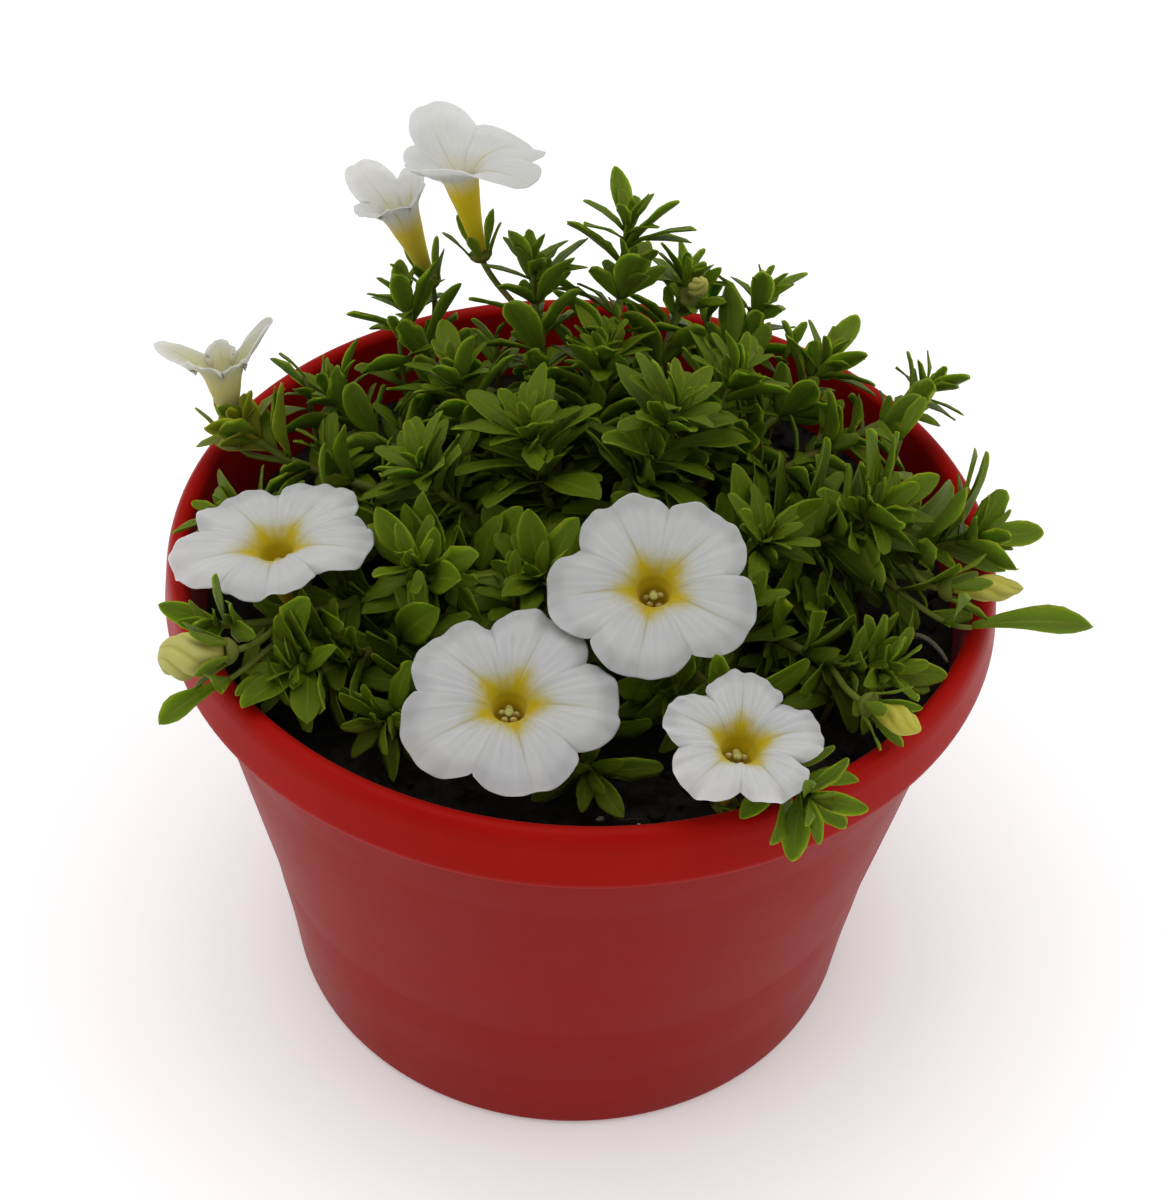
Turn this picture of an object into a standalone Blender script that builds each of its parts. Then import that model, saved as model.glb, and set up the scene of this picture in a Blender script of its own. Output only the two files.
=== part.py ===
"""A calibrachoa in a red plastic pot: leafy stems rooted in compost, white trumpet flowers with yellow
throats, and a few furled buds. Millimetres in the plan, metres in the meshes, +Z up."""

import math
import random

import bmesh
import bpy
import numpy as np
from mathutils.bvhtree import BVHTree

# The plant's plan, in millimetres, with the origin under the middle of the pot

MM = 0.001
SEED = 27
UP = np.array((0.0, 0.0, 1.0))
GOLDEN_ANGLE = math.radians(137.508)

# The pot is a turned profile; its wall widens gently and ends in a rim with a turned-down skirt
POT_HEIGHT = 89.8
POT_WALL = 1.6
FLOOR_TOP = 2.8
WALL_RINGS = [(50.3, 1.3), (51.5, 15.0), (53.2, 30.0), (61.6, 80.0)]
GROOVE_TOP = 86.4
SKIRT_RINGS = [(63.3, 86.0), (63.6, 80.7), (64.8, 80.7), (65.0, 81.4), (64.1, 87.4)]
RIM_INNER_RADIUS = 60.7
POT_SIDES = 32
DRAIN_HOLES = 6
DRAIN_RADIUS = 3.4
DRAIN_CIRCLE = 38.0
PAD_RADIUS = 12.0
RECESS = 1.3
FOOT_INNER_RADIUS = 45.2

# The compost fills the pot to a little under the rim and is mounded in the middle
SOIL_GAP = 0.3
SOIL_EDGE_Z = 77.0
SOIL_MOUND = 2.4
SOIL_RADIUS = 59.0
STEM_DEPTH = 7.0

# Stems stand nearer the middle than their tips lean out
STEM_RADIUS = 1.0
STEM_TIP_RADIUS = 0.8
STEM_STATIONS = 6
ROOT_PULL = 0.42
LOWEST_LEAF = 0.30
LEAF_THICKNESS = 0.9
ROOT_OFFSET = 0.1

# Leafy stems: name, tip (x, y, z), lean from upright in degrees, leaves, longest leaf
SHOOTS = [
    ("back_middle", (5, 42, 117), 16, 11, 14.5),
    ("back_left_middle", (-10, 37, 112), 18, 10, 14.0),
    ("back_right_middle", (15, 45, 106), 20, 9, 13.0),
    ("back_right", (28, 44, 103), 28, 9, 13.0),
    ("right_back", (38, 31, 100), 32, 9, 14.0),
    ("far_right_back", (54, 25, 100), 46, 10, 12.0),
    ("back_left", (-31, 40, 102), 24, 10, 14.0),
    ("left_back", (-42, 25, 94), 40, 9, 14.0),
    ("far_left_back", (-54, 12, 97), 36, 9, 13.5),
    ("far_left", (-54, -6, 94), 55, 7, 13.0),
    ("right", (43, -8, 101), 28, 12, 16.5),
    ("far_right", (58, -8, 97), 62, 12, 18.0),
    ("right_front", (43, -32, 92), 50, 10, 14.0),
    ("front_right", (31, -58, 94.0), 66, 8, 12.5),
    ("left_front", (-40, -35, 90), 42, 10, 14.0),
    ("far_left_front", (-51, -31, 95), 58, 8, 12.0),
    ("front_left", (-27, -39, 85), 64, 6, 14.0),
    ("middle_left", (-25, 1, 99), 20, 10, 14.5),
    ("middle", (-9, 6, 103), 12, 11, 15.0),
    ("middle_right", (13, 6, 108), 14, 11, 15.5),
    ("middle_low_left", (-24, -19, 96), 26, 9, 15.0),
    ("middle_front", (-6, -17, 93), 24, 9, 15.0),
    ("middle_back", (2, 25, 104), 16, 10, 14.5),
    ("middle_back_right", (23, 21, 104), 20, 10, 14.5),
    ("middle_back_left", (-21, 22, 101), 22, 10, 14.5),
    ("middle_right_front", (27, -12, 98), 26, 10, 15.0),
    ("front_middle_right", (14, -33, 87), 40, 8, 14.0),
    ("front_middle", (2, -46, 84), 62, 4, 15.0),
]

# Open flowers: name, stem that bears it, middle of the limb, the way it faces, limb radius,
# tube length, depth of the notches between lobes, cup of the limb and turn of its first lobe in degrees
BLOOMS = [
    ("left", "far_left", (-45, -16, 95.5), (-0.12, 0.08, 0.98), 15.2, 13.0, 0.21, 8, 58),
    ("front_left", "middle_front", (-9.2, -44.3, 94), (0.02, -0.23, 0.97), 15.4, 11.5, 0.20, 4, 70),
    ("front_middle", "middle_right_front", (10.3, -27, 101), (-0.04, -0.38, 0.92), 15.0, 13.0, 0.20, 6, 44),
    ("front_right", "front_right", (22, -52, 95.5), (0.08, -0.10, 0.99), 11.6, 11.5, 0.27, 10, 88),
    ("back", "back_left_middle", (-21.5, 40, 126.0), (-0.24, 0.10, 0.97), 13.0, 12.5, 0.24, 0, 114),
    ("back_left", "back_left", (-31.5, 47, 114), (-0.36, 0.10, 0.93), 10.5, 11.0, 0.38, 46, 130),
    ("far_left_fading", "far_left_back", (-57, 15, 104), (-0.10, 0.20, 0.97), 13.0, 9.0, 0.62, 30, 30),
]

# The five lobes of each flower, counted from its first: share of the limb's radius, lift in degrees
EVEN_LOBES = ((1.0, 0), (0.96, 3), (1.02, -2), (0.97, 2), (1.0, -1))
LOBES = {
    "back": ((1.18, 46), (0.74, 36), (0.80, 44), (1.06, -4), (1.16, -10)),
    "back_left": ((1.35, -2), (0.78, -5), (0.70, 6), (0.75, 6), (0.90, 0)),
    "far_left_fading": ((1.0, 20), (0.6, 30), (0.95, 6), (0.75, 16), (0.5, 30)),
}

# Leaves that stand out in the photo's outline: stem, share along it, end of a twig or None for none,
# heading, length, width
PLACED_LEAVES = [
    ("far_right", 0.50, (57, -23.5, 93.5), (0.984, 0.14, 0.10), 18.4, 6.0),
    ("front_right", 0.97, None, (-0.12, -0.85, -0.42), 9.6, 3.8),
    ("front_right", 0.93, None, (0.90, 0.12, 0.12), 8.8, 3.4),
    ("front_right", 0.91, None, (-0.76, -0.60, -0.12), 8.8, 3.4),
    ("far_left_front", 0.60, (-49.5, -41.0, 93.0), (-0.76, -0.62, -0.05), 10.0, 4.4),
    ("left_front", 0.97, None, (-0.55, -0.76, 0.33), 12.0, 4.6),
    ("left_front", 0.93, None, (0.10, -0.95, 0.30), 12.0, 5.0),
]

# Closed buds: name, stem that bears it, base, the way it points, length, radius, how pointed from 0 to 1
BUDS = [
    ("far_left_front", "far_left_front", (-49, -38, 96.5), (-0.93, -0.34, 0.10), 9.0, 3.5, 0.15),
    ("far_right", "far_right", (54, -18, 96), (0.97, 0.04, 0.02), 10.5, 2.3, 0.60),
    ("right_front", "right_front", (40.5, -42.5, 95.5), (0.62, -0.55, 0.12), 8.0, 2.2, 0.55),
    ("back_right", "back_right_middle", (16, 42, 105), (0.25, -0.55, 0.80), 7.0, 1.7, 0.40),
]


def unit(vector):
    vector = np.asarray(vector, float)
    return vector / np.linalg.norm(vector)


def soil_height(x, y):
    """Height of the compost: a low mound, with crumbs left out."""
    return SOIL_EDGE_Z + SOIL_MOUND * np.maximum(0.0, 1.0 - (x * x + y * y) / SOIL_RADIUS**2)


def cubic(points, t):
    """Points of a cubic curve through its first and last control point, for an array t from 0 to 1."""
    a, b, c, d = np.asarray(points, float)
    t = np.asarray(t, float)[:, None]
    return a * (1 - t) ** 3 + 3 * b * t * (1 - t) ** 2 + 3 * c * t * t * (1 - t) + d * t**3


def cubic_heading(points, t):
    """Unit direction of travel along that curve at one t."""
    a, b, c, d = np.asarray(points, float)
    return unit((b - a) * (1 - t) ** 2 + 2 * (c - b) * t * (1 - t) + (d - c) * t * t)


def side_axes(heading):
    """Two unit vectors square to the heading and to each other."""
    first = unit(np.cross(heading, (0.31, 0.95, 0.05)))
    return first, np.cross(heading, first)


def stem_curve(shoot):
    """Control points from the compost to the tip: upright at the foot, leaning out at the tip."""
    tip = np.array(shoot[1], float)
    outward = unit((tip[0], tip[1], 0.0))
    lean = math.radians(shoot[2])
    heading = math.sin(lean) * outward + math.cos(lean) * UP
    root = np.array((tip[0] * ROOT_PULL, tip[1] * ROOT_PULL, 0.0))
    root[2] = soil_height(root[0], root[1])
    reach = np.linalg.norm(tip - root)
    return [root, root + UP * 0.42 * reach, tip - heading * 0.36 * reach, tip]


def blade_width(t):
    """Half width of a leaf from root to tip, as a share of its widest: a stalk, then a long oval."""
    return np.maximum(np.sin(np.pi * np.clip(t, 0, 1) ** 1.4) ** 0.7, 0.14 * (1 - t))


def blade_frame(leaf, t):
    """Middle line and downward normal of a leaf that arches evenly from its heading."""
    bend = leaf["arch"] * t[:, None]
    forward, down = leaf["heading"], leaf["down"]
    line = forward * np.sin(bend) + down * (1 - np.cos(bend))
    middle = leaf["root"] + leaf["length"] / leaf["arch"] * line
    return middle, down * np.cos(bend) - forward * np.sin(bend)


def blade_solid(leaf, stations, grow=0.0):
    """A leaf as a closed blade with a rib below, its edges raised a little.
    Each station is a ring of left edge, right edge, rib; the last corner is the point."""
    t = np.array(stations)
    middle, down = blade_frame(leaf, t)
    side = np.cross(leaf["heading"], leaf["down"])
    half = (leaf["width"] / 2 * blade_width(t) + grow)[:, None]
    lift = down * (leaf["fold"] * half + leaf["thickness"] / 3 + grow)
    rib = middle + down * (leaf["thickness"] * 2 / 3 + grow)
    rings = np.stack([middle - side * half - lift, middle + side * half - lift, rib], axis=1)
    tip = blade_frame(leaf, np.array((1.0 + grow / leaf["length"],)))[0]
    corners = np.concatenate([rings.reshape(-1, 3), tip])
    point = len(corners) - 1
    faces = [(0, 1, 2)]
    for ring in range(0, point - 3, 3):
        for k in range(3):
            a, b = ring + k, ring + (k + 1) % 3
            faces.append((a, a + 3, b + 3, b))
    faces += [(point - 3 + k, point, point - 3 + (k + 1) % 3) for k in range(3)]
    return corners, faces


def stem_rings(points, radii, sides):
    """A tube through the points, as rings of corners with flat ends."""
    points = np.asarray(points, float)
    headings = np.gradient(points, axis=0)
    turn = np.arange(sides) * 2 * np.pi / sides
    rings = []
    for point, heading, radius in zip(points, headings, radii):
        first, second = side_axes(unit(heading))
        rings.append(point + radius * (np.cos(turn)[:, None] * first + np.sin(turn)[:, None] * second))
    corners = np.concatenate(rings)
    faces = [tuple(range(sides))[::-1]]
    for ring in range(len(points) - 1):
        for k in range(sides):
            a, b = ring * sides + k, ring * sides + (k + 1) % sides
            faces.append((a, b, b + sides, a + sides))
    faces.append(tuple((len(points) - 1) * sides + k for k in range(sides)))
    return corners, faces


def stem_points(shoot, count=STEM_STATIONS):
    """Stations of a stem: its buried end, the compost, then along its curve."""
    curve = stem_curve(shoot)
    buried = curve[0] - UP * STEM_DEPTH
    return np.concatenate([[buried], cubic(curve, np.linspace(0.0, 1.0, count))])


def stem_place(shoot, t):
    """A point on a stem's middle line as built, which runs straight from station to station."""
    points = stem_points(shoot)[1:]
    at = t * (len(points) - 1)
    before = min(int(at), len(points) - 2)
    return points[before] + (points[before + 1] - points[before]) * (at - before)


def stem_solid(shoot, sides=3):
    points = stem_points(shoot)
    radii = np.linspace(STEM_RADIUS, STEM_TIP_RADIUS, len(points))
    return stem_rings(points, radii, sides)


def facing_out(solid):
    """The solid with its faces turned round if they enclose a negative volume."""
    corners, faces = solid
    volume = 0.0
    for face in faces:
        a = corners[face[0]]
        for b, c in zip(face[1:-1], face[2:]):
            volume += np.dot(a, np.cross(corners[b], corners[c]))
    return solid if volume > 0 else (corners, [tuple(face[::-1]) for face in faces])


def turned(profile, sides):
    """A solid of revolution: a closed outline of (radius, height) that starts and ends on the axis."""
    turn = np.arange(sides) * 2 * np.pi / sides
    middle = profile[1:-1]
    corners = [(r * np.cos(a), r * np.sin(a), z) for r, z in middle for a in turn]
    corners += [(0.0, 0.0, profile[0][1]), (0.0, 0.0, profile[-1][1])]
    first, last = len(middle) * sides, len(middle) * sides + 1
    faces = []
    for k in range(sides):
        after = (k + 1) % sides
        faces.append((first, after, k))
        for ring in range(len(middle) - 1):
            a, b = ring * sides + k, ring * sides + after
            faces.append((a, b, b + sides, a + sides))
        faces.append((last, (len(middle) - 1) * sides + k, (len(middle) - 1) * sides + after))
    return facing_out((np.array(corners), faces))


def inner_wall(play=0.0):
    """The pot's inner face, from the floor to the rim."""
    rings = [(r - POT_WALL - play, z) for r, z in WALL_RINGS[1:]]
    return [(WALL_RINGS[0][0] - POT_WALL - play + 0.2, FLOOR_TOP)] + rings


def pot_solid():
    underside = [(0.0, 0.0), (PAD_RADIUS, 0.0), (PAD_RADIUS, RECESS), (FOOT_INNER_RADIUS, RECESS)]
    foot = [(FOOT_INNER_RADIUS, 0.0), (WALL_RINGS[0][0] - 1.0, 0.0)]
    lip = [(62.9, POT_HEIGHT), (61.6, POT_HEIGHT), (RIM_INNER_RADIUS, POT_HEIGHT - 0.8)]
    outside = WALL_RINGS + [(61.9, GROOVE_TOP)] + SKIRT_RINGS + lip
    return turned(underside + foot + outside + inner_wall()[::-1] + [(0.0, FLOOR_TOP)], POT_SIDES)


# Flowers

PETALS = 5
CALYX_HEIGHT = 1.8
CALYX_RADIUS = 2.3
PEDICEL_HOOK = 4.0
SEAT_GAP = 0.3
TUBE_FOOT_RADIUS = 1.15
THROAT_RADIUS = 3.0
THROAT_SHOULDER = 1.5
PETAL_THICKNESS = 0.8


def flower_base(bloom):
    """Where a flower's tube meets its calyx."""
    name, stem, centre, facing, radius, tube, notch, cup, first = bloom
    return np.array(centre, float) - unit(facing) * tube


def flower_axes(facing):
    """Across and along the limb, so that turns are counted from +X towards +Y on a flower that faces up."""
    across = unit(np.cross((0.0, 1.0, 0.0), facing))
    return across, np.cross(facing, across)


def lobe_values(bloom, turn):
    """Length share and lift at an angle, blended from each lobe to the next by squared cosines."""
    length, lift = np.zeros_like(turn), np.zeros_like(turn)
    for k, (share, degrees) in enumerate(LOBES.get(bloom[0], EVEN_LOBES)):
        centre = math.radians(bloom[8]) + 2 * np.pi * k / PETALS
        away = np.abs((turn - centre + np.pi) % (2 * np.pi) - np.pi)
        weight = np.where(away < 2 * np.pi / PETALS, np.cos(away * PETALS / 4) ** 2, 0.0)
        length, lift = length + weight * share, lift + weight * math.radians(degrees)
    return length, lift


def limb_outline(bloom, turn):
    """Share of the limb's radius at an angle: five rounded lobes, a little blunt, with notches between."""
    notch = bloom[6]
    lobes = (turn - math.radians(bloom[8])) / (2 * np.pi / PETALS)
    away = np.abs((lobes + 0.5) % 1.0 - 0.5) * 2
    return 1 - notch * away ** (3.2 - 2.6 * notch) - 0.02 * np.exp(-((away / 0.16) ** 2))


def corolla_surface(bloom, u, turn):
    """Outer face of the trumpet. u runs from the tube's foot (0) through the throat (0.5) to the rim (1)."""
    name, stem, centre, facing, radius, tube, notch, cup, first = bloom
    u, turn = np.broadcast_arrays(u[:, None], turn[None, :])
    in_tube = np.clip(u / 0.5, 0, 1)
    in_limb = np.clip((u - 0.5) / 0.5, 0, 1)
    share, lift = lobe_values(bloom, turn)
    tube_radius = TUBE_FOOT_RADIUS + (THROAT_RADIUS - TUBE_FOOT_RADIUS) * in_tube**1.5
    spread = in_limb**0.9 * (radius * share * limb_outline(bloom, turn) - THROAT_RADIUS)
    rise = math.radians(cup) + lift * in_limb
    out = tube_radius + spread * np.cos(rise)
    crease = -np.cos((turn - math.radians(first)) * PETALS) * 0.035 * spread
    roll = -0.075 * radius * in_limb**3
    shoulder = THROAT_SHOULDER * (1 - np.exp(-9 * in_limb))
    height = tube * in_tube + spread * np.sin(rise) + shoulder + crease + roll
    facing = unit(facing)
    across, along = flower_axes(facing)
    base = flower_base(bloom) + facing * SEAT_GAP
    flat = np.cos(turn)[..., None] * across + np.sin(turn)[..., None] * along
    return base + out[..., None] * flat + height[..., None] * facing


def corolla_solid(bloom, grow=0.0, turns=20):
    """A trumpet with a wall: the outer face, then the inner face down to the bottom of the throat."""
    facing = unit(bloom[3])
    turn = np.arange(turns) * 2 * np.pi / turns + math.radians(bloom[8])
    outer = corolla_surface(bloom, np.array((0.0, 0.28, 0.5, 0.74, 1.0)), turn)
    inner = corolla_surface(bloom, np.array((1.0, 0.74, 0.52)), turn)
    inner = inner + facing * PETAL_THICKNESS
    outer = outer - facing * grow
    inner = inner + facing * grow
    base = flower_base(bloom) + facing * SEAT_GAP
    throat = base + facing * bloom[5] * 0.62
    corners = np.concatenate([outer.reshape(-1, 3), inner.reshape(-1, 3), [base, throat]])
    rings = len(outer) + len(inner)
    foot, well = rings * turns, rings * turns + 1
    faces = []
    for k in range(turns):
        after = (k + 1) % turns
        faces.append((foot, after, k))
        for ring in range(rings - 1):
            a, b = ring * turns + k, ring * turns + after
            faces.append((a, b, b + turns, a + turns))
        faces.append((well, (rings - 1) * turns + k, (rings - 1) * turns + after))
    return corners, faces


def bud_swell(t, pointed):
    """Radius of a bud from its foot to its tip, as a share of its widest."""
    body = 0.30 + 0.70 * np.sin(np.pi * np.clip(t * 0.92 + 0.02, 0, 1) ** 1.25)
    return body * (1 - pointed * t**3.5)


def bud_solid(bud, grow=0.0, turns=10, rings=6):
    """A furled bud: a teardrop whose pleats twist round it."""
    name, stem, base, facing, length, radius, pointed = bud
    across, along = side_axes(unit(facing))
    facing = unit(facing)
    start = np.array(base, float) + facing * SEAT_GAP
    t = np.linspace(0.0, 0.96, rings)[:, None]
    turn = (np.arange(turns) * 2 * np.pi / turns)[None, :]
    out = radius * bud_swell(t, pointed) * (1 + 0.07 * np.cos(PETALS * (turn - 1.2 * t))) + grow
    flat = np.cos(turn)[..., None] * across + np.sin(turn)[..., None] * along
    surface = start + out[..., None] * flat + (t * length)[..., None] * facing
    corners = np.concatenate([surface.reshape(-1, 3), [start, start + facing * (length + grow)]])
    foot, tip = rings * turns, rings * turns + 1
    faces = []
    for k in range(turns):
        after = (k + 1) % turns
        faces.append((foot, after, k))
        for ring in range(rings - 1):
            a, b = ring * turns + k, ring * turns + after
            faces.append((a, b, b + turns, a + turns))
        faces.append((tip, (rings - 1) * turns + k, (rings - 1) * turns + after))
    return corners, faces


def calyx_solids(base, facing, sides=5):
    """A small cup under a flower and the five sepals that stand round the tube."""
    facing = unit(facing)
    points = [base - facing * CALYX_HEIGHT, base - facing * 0.7, base]
    yield stem_rings(points, (0.75, CALYX_RADIUS * 0.85, CALYX_RADIUS), sides)
    across, along = side_axes(facing)
    for k in range(PETALS):
        turn = 2 * np.pi * (k + 0.5) / PETALS
        out = math.cos(turn) * across + math.sin(turn) * along
        heading = unit(facing * 0.92 + out * 0.38)
        yield blade_solid(sepal(base + out * 1.65 - facing * 1.0, heading, out), (0.0, 0.5))


def sepal(root, heading, out):
    down = unit(out - heading * np.dot(out, heading))
    return {"root": root, "heading": heading, "down": down, "length": 7.0, "width": 2.1,
            "arch": 0.30, "fold": 0.12, "thickness": 0.75}


def pedicel_points(stem_name, base, facing, count=4):
    """A flower's own stalk, from the upper part of its stem to the calyx."""
    shoot = next(s for s in SHOOTS if s[0] == stem_name)
    curve = stem_curve(shoot)
    foot = stem_place(shoot, 0.72)
    end = np.asarray(base, float) - unit(facing) * (CALYX_HEIGHT - 0.4)
    reach = np.linalg.norm(end - foot)
    start_way = unit(cubic_heading(curve, 0.72) + unit(end - foot))
    turn_in = unit(facing) * min(PEDICEL_HOOK, reach * 0.35)
    stalk = [foot, foot + start_way * reach * 0.3, end - turn_in, end]
    return cubic(stalk, np.linspace(0, 1, count))


def flower_stalks(stem_name):
    """Base and facing of every flower and bud that a stem bears."""
    found = [(flower_base(b), b[3]) for b in BLOOMS if b[1] == stem_name]
    return found + [(np.array(b[2], float), b[3]) for b in BUDS if b[1] == stem_name]


def stalk_solids(stem_name, grow=0.0):
    """The stalks and calyces on a stem."""
    for base, facing in flower_stalks(stem_name):
        yield stem_rings(pedicel_points(stem_name, base, facing), [0.62 + grow] * 4, 4)
        yield from calyx_solids(base, facing)
    for row in PLACED_LEAVES:
        if row[0] == stem_name:
            if row[2]:
                yield stem_rings(twig_points(row), [0.7 + grow] * 4, 4)
            yield blade_solid(placed_leaf(row), STATIONS)


# Leaves are placed in turn up each stem; one that would cross another part is turned, raised or shortened

# Each change is a turn round the stem and a rise in degrees, and a share of the length
LEAF_TRIES = [
    (0, 0, 1.0), (16, 0, 1.0), (-16, 0, 1.0), (0, -14, 1.0), (0, 12, 0.94), (30, -8, 0.94),
    (-30, -8, 0.94), (12, -28, 0.88), (-12, -28, 0.88), (45, 0, 0.85), (-45, 0, 0.85),
    (0, -40, 0.8), (60, -18, 0.8), (-60, -18, 0.8),
]
GUARD = 0.42
SOIL_CLEARANCE = 1.2
STATIONS = (0.0, 0.42, 0.80)
HIGHEST_LEAF = 0.985
LOW_LEAF_PITCH = 76
PITCH_RISE = 46
PITCH_WOBBLE = 10


def leaf_at(shoot, rank, wobble, change):
    """The leaf of one rank on a stem, counted from the lowest, with one of the changes that clear it."""
    curve = stem_curve(shoot)
    share = rank / max(1, shoot[3] - 1)
    t = LOWEST_LEAF + (HIGHEST_LEAF - LOWEST_LEAF) * share**0.82
    heading = cubic_heading(curve, t)
    across, along = side_axes(heading)
    turn = rank * GOLDEN_ANGLE + wobble[0] * 6.28 + math.radians(change[0])
    rise = PITCH_RISE * share**1.6 - PITCH_WOBBLE * (wobble[1] - 0.5)
    pitch = math.radians(LOW_LEAF_PITCH - rise + change[1])
    out = math.cos(turn) * across + math.sin(turn) * along
    forward = math.cos(pitch) * heading + math.sin(pitch) * out
    down = unit(forward * math.cos(pitch) - heading)
    length = shoot[4] * (0.90 + 0.26 * wobble[2]) * (1 - 0.30 * share**2.5) * change[2]
    return {
        "root": stem_place(shoot, t) + out * ROOT_OFFSET, "heading": forward, "down": down,
        "length": length, "width": length * (0.40 - 0.10 * share + 0.07 * wobble[3]),
        "arch": 0.18 + 0.5 * wobble[4] * (1 - 0.5 * share), "fold": 0.22,
        "thickness": LEAF_THICKNESS, "share": share,
    }


def placed_leaf(row):
    """A leaf from the table of leaves that stand out, arching gently down."""
    stem_name, t, end, heading, length, width = row
    shoot = next(s for s in SHOOTS if s[0] == stem_name)
    root = np.array(end, float) if end else stem_place(shoot, t)
    heading = unit(heading)
    down = unit(-UP + heading * heading[2])
    return {
        "root": root + heading * ROOT_OFFSET, "heading": heading, "down": down, "length": length,
        "width": width, "arch": 0.35, "fold": 0.22, "thickness": LEAF_THICKNESS, "share": 0.6,
    }


def twig_points(row, count=4):
    """A short side branch from its stem to the root of a placed leaf."""
    shoot = next(s for s in SHOOTS if s[0] == row[0])
    foot, end = stem_place(shoot, row[1]), np.array(row[2], float)
    way = cubic_heading(stem_curve(shoot), row[1])
    pull = np.linalg.norm(end - foot) * 0.25
    path = [foot, foot + way * pull, end - unit(row[3]) * pull, end]
    return cubic(path, np.linspace(0, 1, count))


def tree_of(solid):
    corners, faces = solid
    return BVHTree.FromPolygons([tuple(c) for c in corners], faces, all_triangles=False)


def reach_of(solid):
    corners = solid[0]
    return corners.min(axis=0), corners.max(axis=0)


def crosses(tree, reach, others):
    """Whether a part meets any of the others, each given as its tree and its box."""
    low, high = reach
    for other, (other_low, other_high) in others:
        if np.all(low <= other_high) and np.all(high >= other_low) and tree.overlap(other):
            return True
    return False


def plan_leaves(pot_tree):
    """Every stem's leaves, placed so that no leaf meets the pot, the compost, a flower or another stem."""
    rng = random.Random(SEED)
    fixed = [(pot_tree[0], pot_tree[1])]
    for solid in [corolla_solid(b, grow=0.3) for b in BLOOMS] + [bud_solid(b, grow=0.3) for b in BUDS]:
        fixed.append((tree_of(solid), reach_of(solid)))
    woody = {s[0]: [stem_solid(s)] + list(stalk_solids(s[0])) for s in SHOOTS}
    owned = {n: [(tree_of(s), reach_of(s)) for s in solids] for n, solids in woody.items()}
    leaves = {s[0]: [] for s in SHOOTS}
    most = max(s[3] for s in SHOOTS)
    for rank in range(most):
        for shoot in SHOOTS:
            wobble = [rng.random() for k in range(5)]
            start = random.Random(shoot[0]).random()
            wobble[0] = start + 0.04 * (wobble[0] - 0.5)
            place = shoot[3] - 1 - rank
            if place < 0:
                continue
            others = fixed + [o for n, trees in owned.items() if n != shoot[0] for o in trees]
            for change in LEAF_TRIES:
                leaf = leaf_at(shoot, place, wobble, change)
                guard = blade_solid(leaf, STATIONS, grow=GUARD)
                clear_of_soil = guard[0][3:]
                if (clear_of_soil[:, 2] < soil_height(*clear_of_soil[:, :2].T) + SOIL_CLEARANCE).any():
                    continue
                tree = tree_of(guard)
                if crosses(tree, reach_of(guard), others):
                    continue
                solid = blade_solid(leaf, STATIONS)
                owned[shoot[0]].append((tree_of(solid), reach_of(solid)))
                leaves[shoot[0]].append(leaf)
                break
    return leaves


# Solids

HOLE_SIDES = 5
STEM_HOLE_PLAY = 0.4
SCRAP_CORNERS = 8

COLOURS = {
    "red plastic": ((0.42, 0.016, 0.012, 1.0), 0.38),
    "compost": ((0.014, 0.009, 0.006, 1.0), 0.95),
    "leaf green": ((0.055, 0.13, 0.012, 1.0), 0.5),
    "petal white": ((0.80, 0.80, 0.78, 1.0), 0.6),
    "bud yellow": ((0.62, 0.56, 0.12, 1.0), 0.55),
}


def clear_scene():
    for found in list(bpy.data.objects):
        bpy.data.objects.remove(found, do_unlink=True)


def material(name):
    made = bpy.data.materials.get(name)
    if made is None:
        colour, roughness = COLOURS[name]
        made = bpy.data.materials.new(name)
        made.use_nodes = True
        shader = made.node_tree.nodes["Principled BSDF"]
        shader.inputs["Base Color"].default_value = colour
        shader.inputs["Roughness"].default_value = roughness
        shader.inputs["Metallic"].default_value = 0.0
    return made


def add_object(name, solid, finish, collection=None):
    corners, faces = solid
    mesh = bpy.data.meshes.new(name)
    mesh.from_pydata((np.asarray(corners) * MM).tolist(), [], [tuple(map(int, f)) for f in faces])
    mesh.validate()
    made = bpy.data.objects.new(name, mesh)
    made.data.materials.append(material(finish))
    (collection or bpy.context.scene.collection).objects.link(made)
    return made


def soil_solid():
    """Compost from the floor to its mounded, crumbly top."""
    side = [(r, z) for r, z in inner_wall(SOIL_GAP) if z < SOIL_EDGE_Z]
    side[0] = (side[0][0] - 0.2, FLOOR_TOP + SOIL_GAP)
    low, high = side[-1], inner_wall(SOIL_GAP)[-1]
    share = (SOIL_EDGE_Z - low[1]) / (high[1] - low[1])
    edge = (low[0] + (high[0] - low[0]) * share, SOIL_EDGE_Z)
    top = [(r, soil_height(r, 0.0)) for r in (44.0, 22.0)]
    profile = [(0.0, FLOOR_TOP + SOIL_GAP)] + side + [edge] + top + [(0.0, soil_height(0.0, 0.0))]
    return turned(profile, POT_SIDES)


def crumble(soil):
    """Small lumps on the compost's top, away from its edge."""
    rng = random.Random(SEED + 1)
    for vertex in soil.data.vertices:
        radius = math.hypot(vertex.co.x, vertex.co.y)
        if vertex.co.z > (SOIL_EDGE_Z + 0.1) * MM and radius < 52 * MM:
            vertex.co.z += rng.uniform(-0.7, 0.7) * MM


def apply_boolean(target, collection, operation, solver):
    modifier = target.modifiers.new(operation.lower(), "BOOLEAN")
    modifier.operation = operation
    modifier.solver = solver
    modifier.operand_type = "COLLECTION"
    modifier.collection = collection
    bpy.context.view_layer.update()
    graph = bpy.context.evaluated_depsgraph_get()
    mesh = bpy.data.meshes.new_from_object(target.evaluated_get(graph))
    target.modifiers.clear()
    target.data = mesh
    drop_scraps(mesh)
    for part in list(collection.objects):
        bpy.data.objects.remove(part, do_unlink=True)
    bpy.data.collections.remove(collection)


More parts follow.
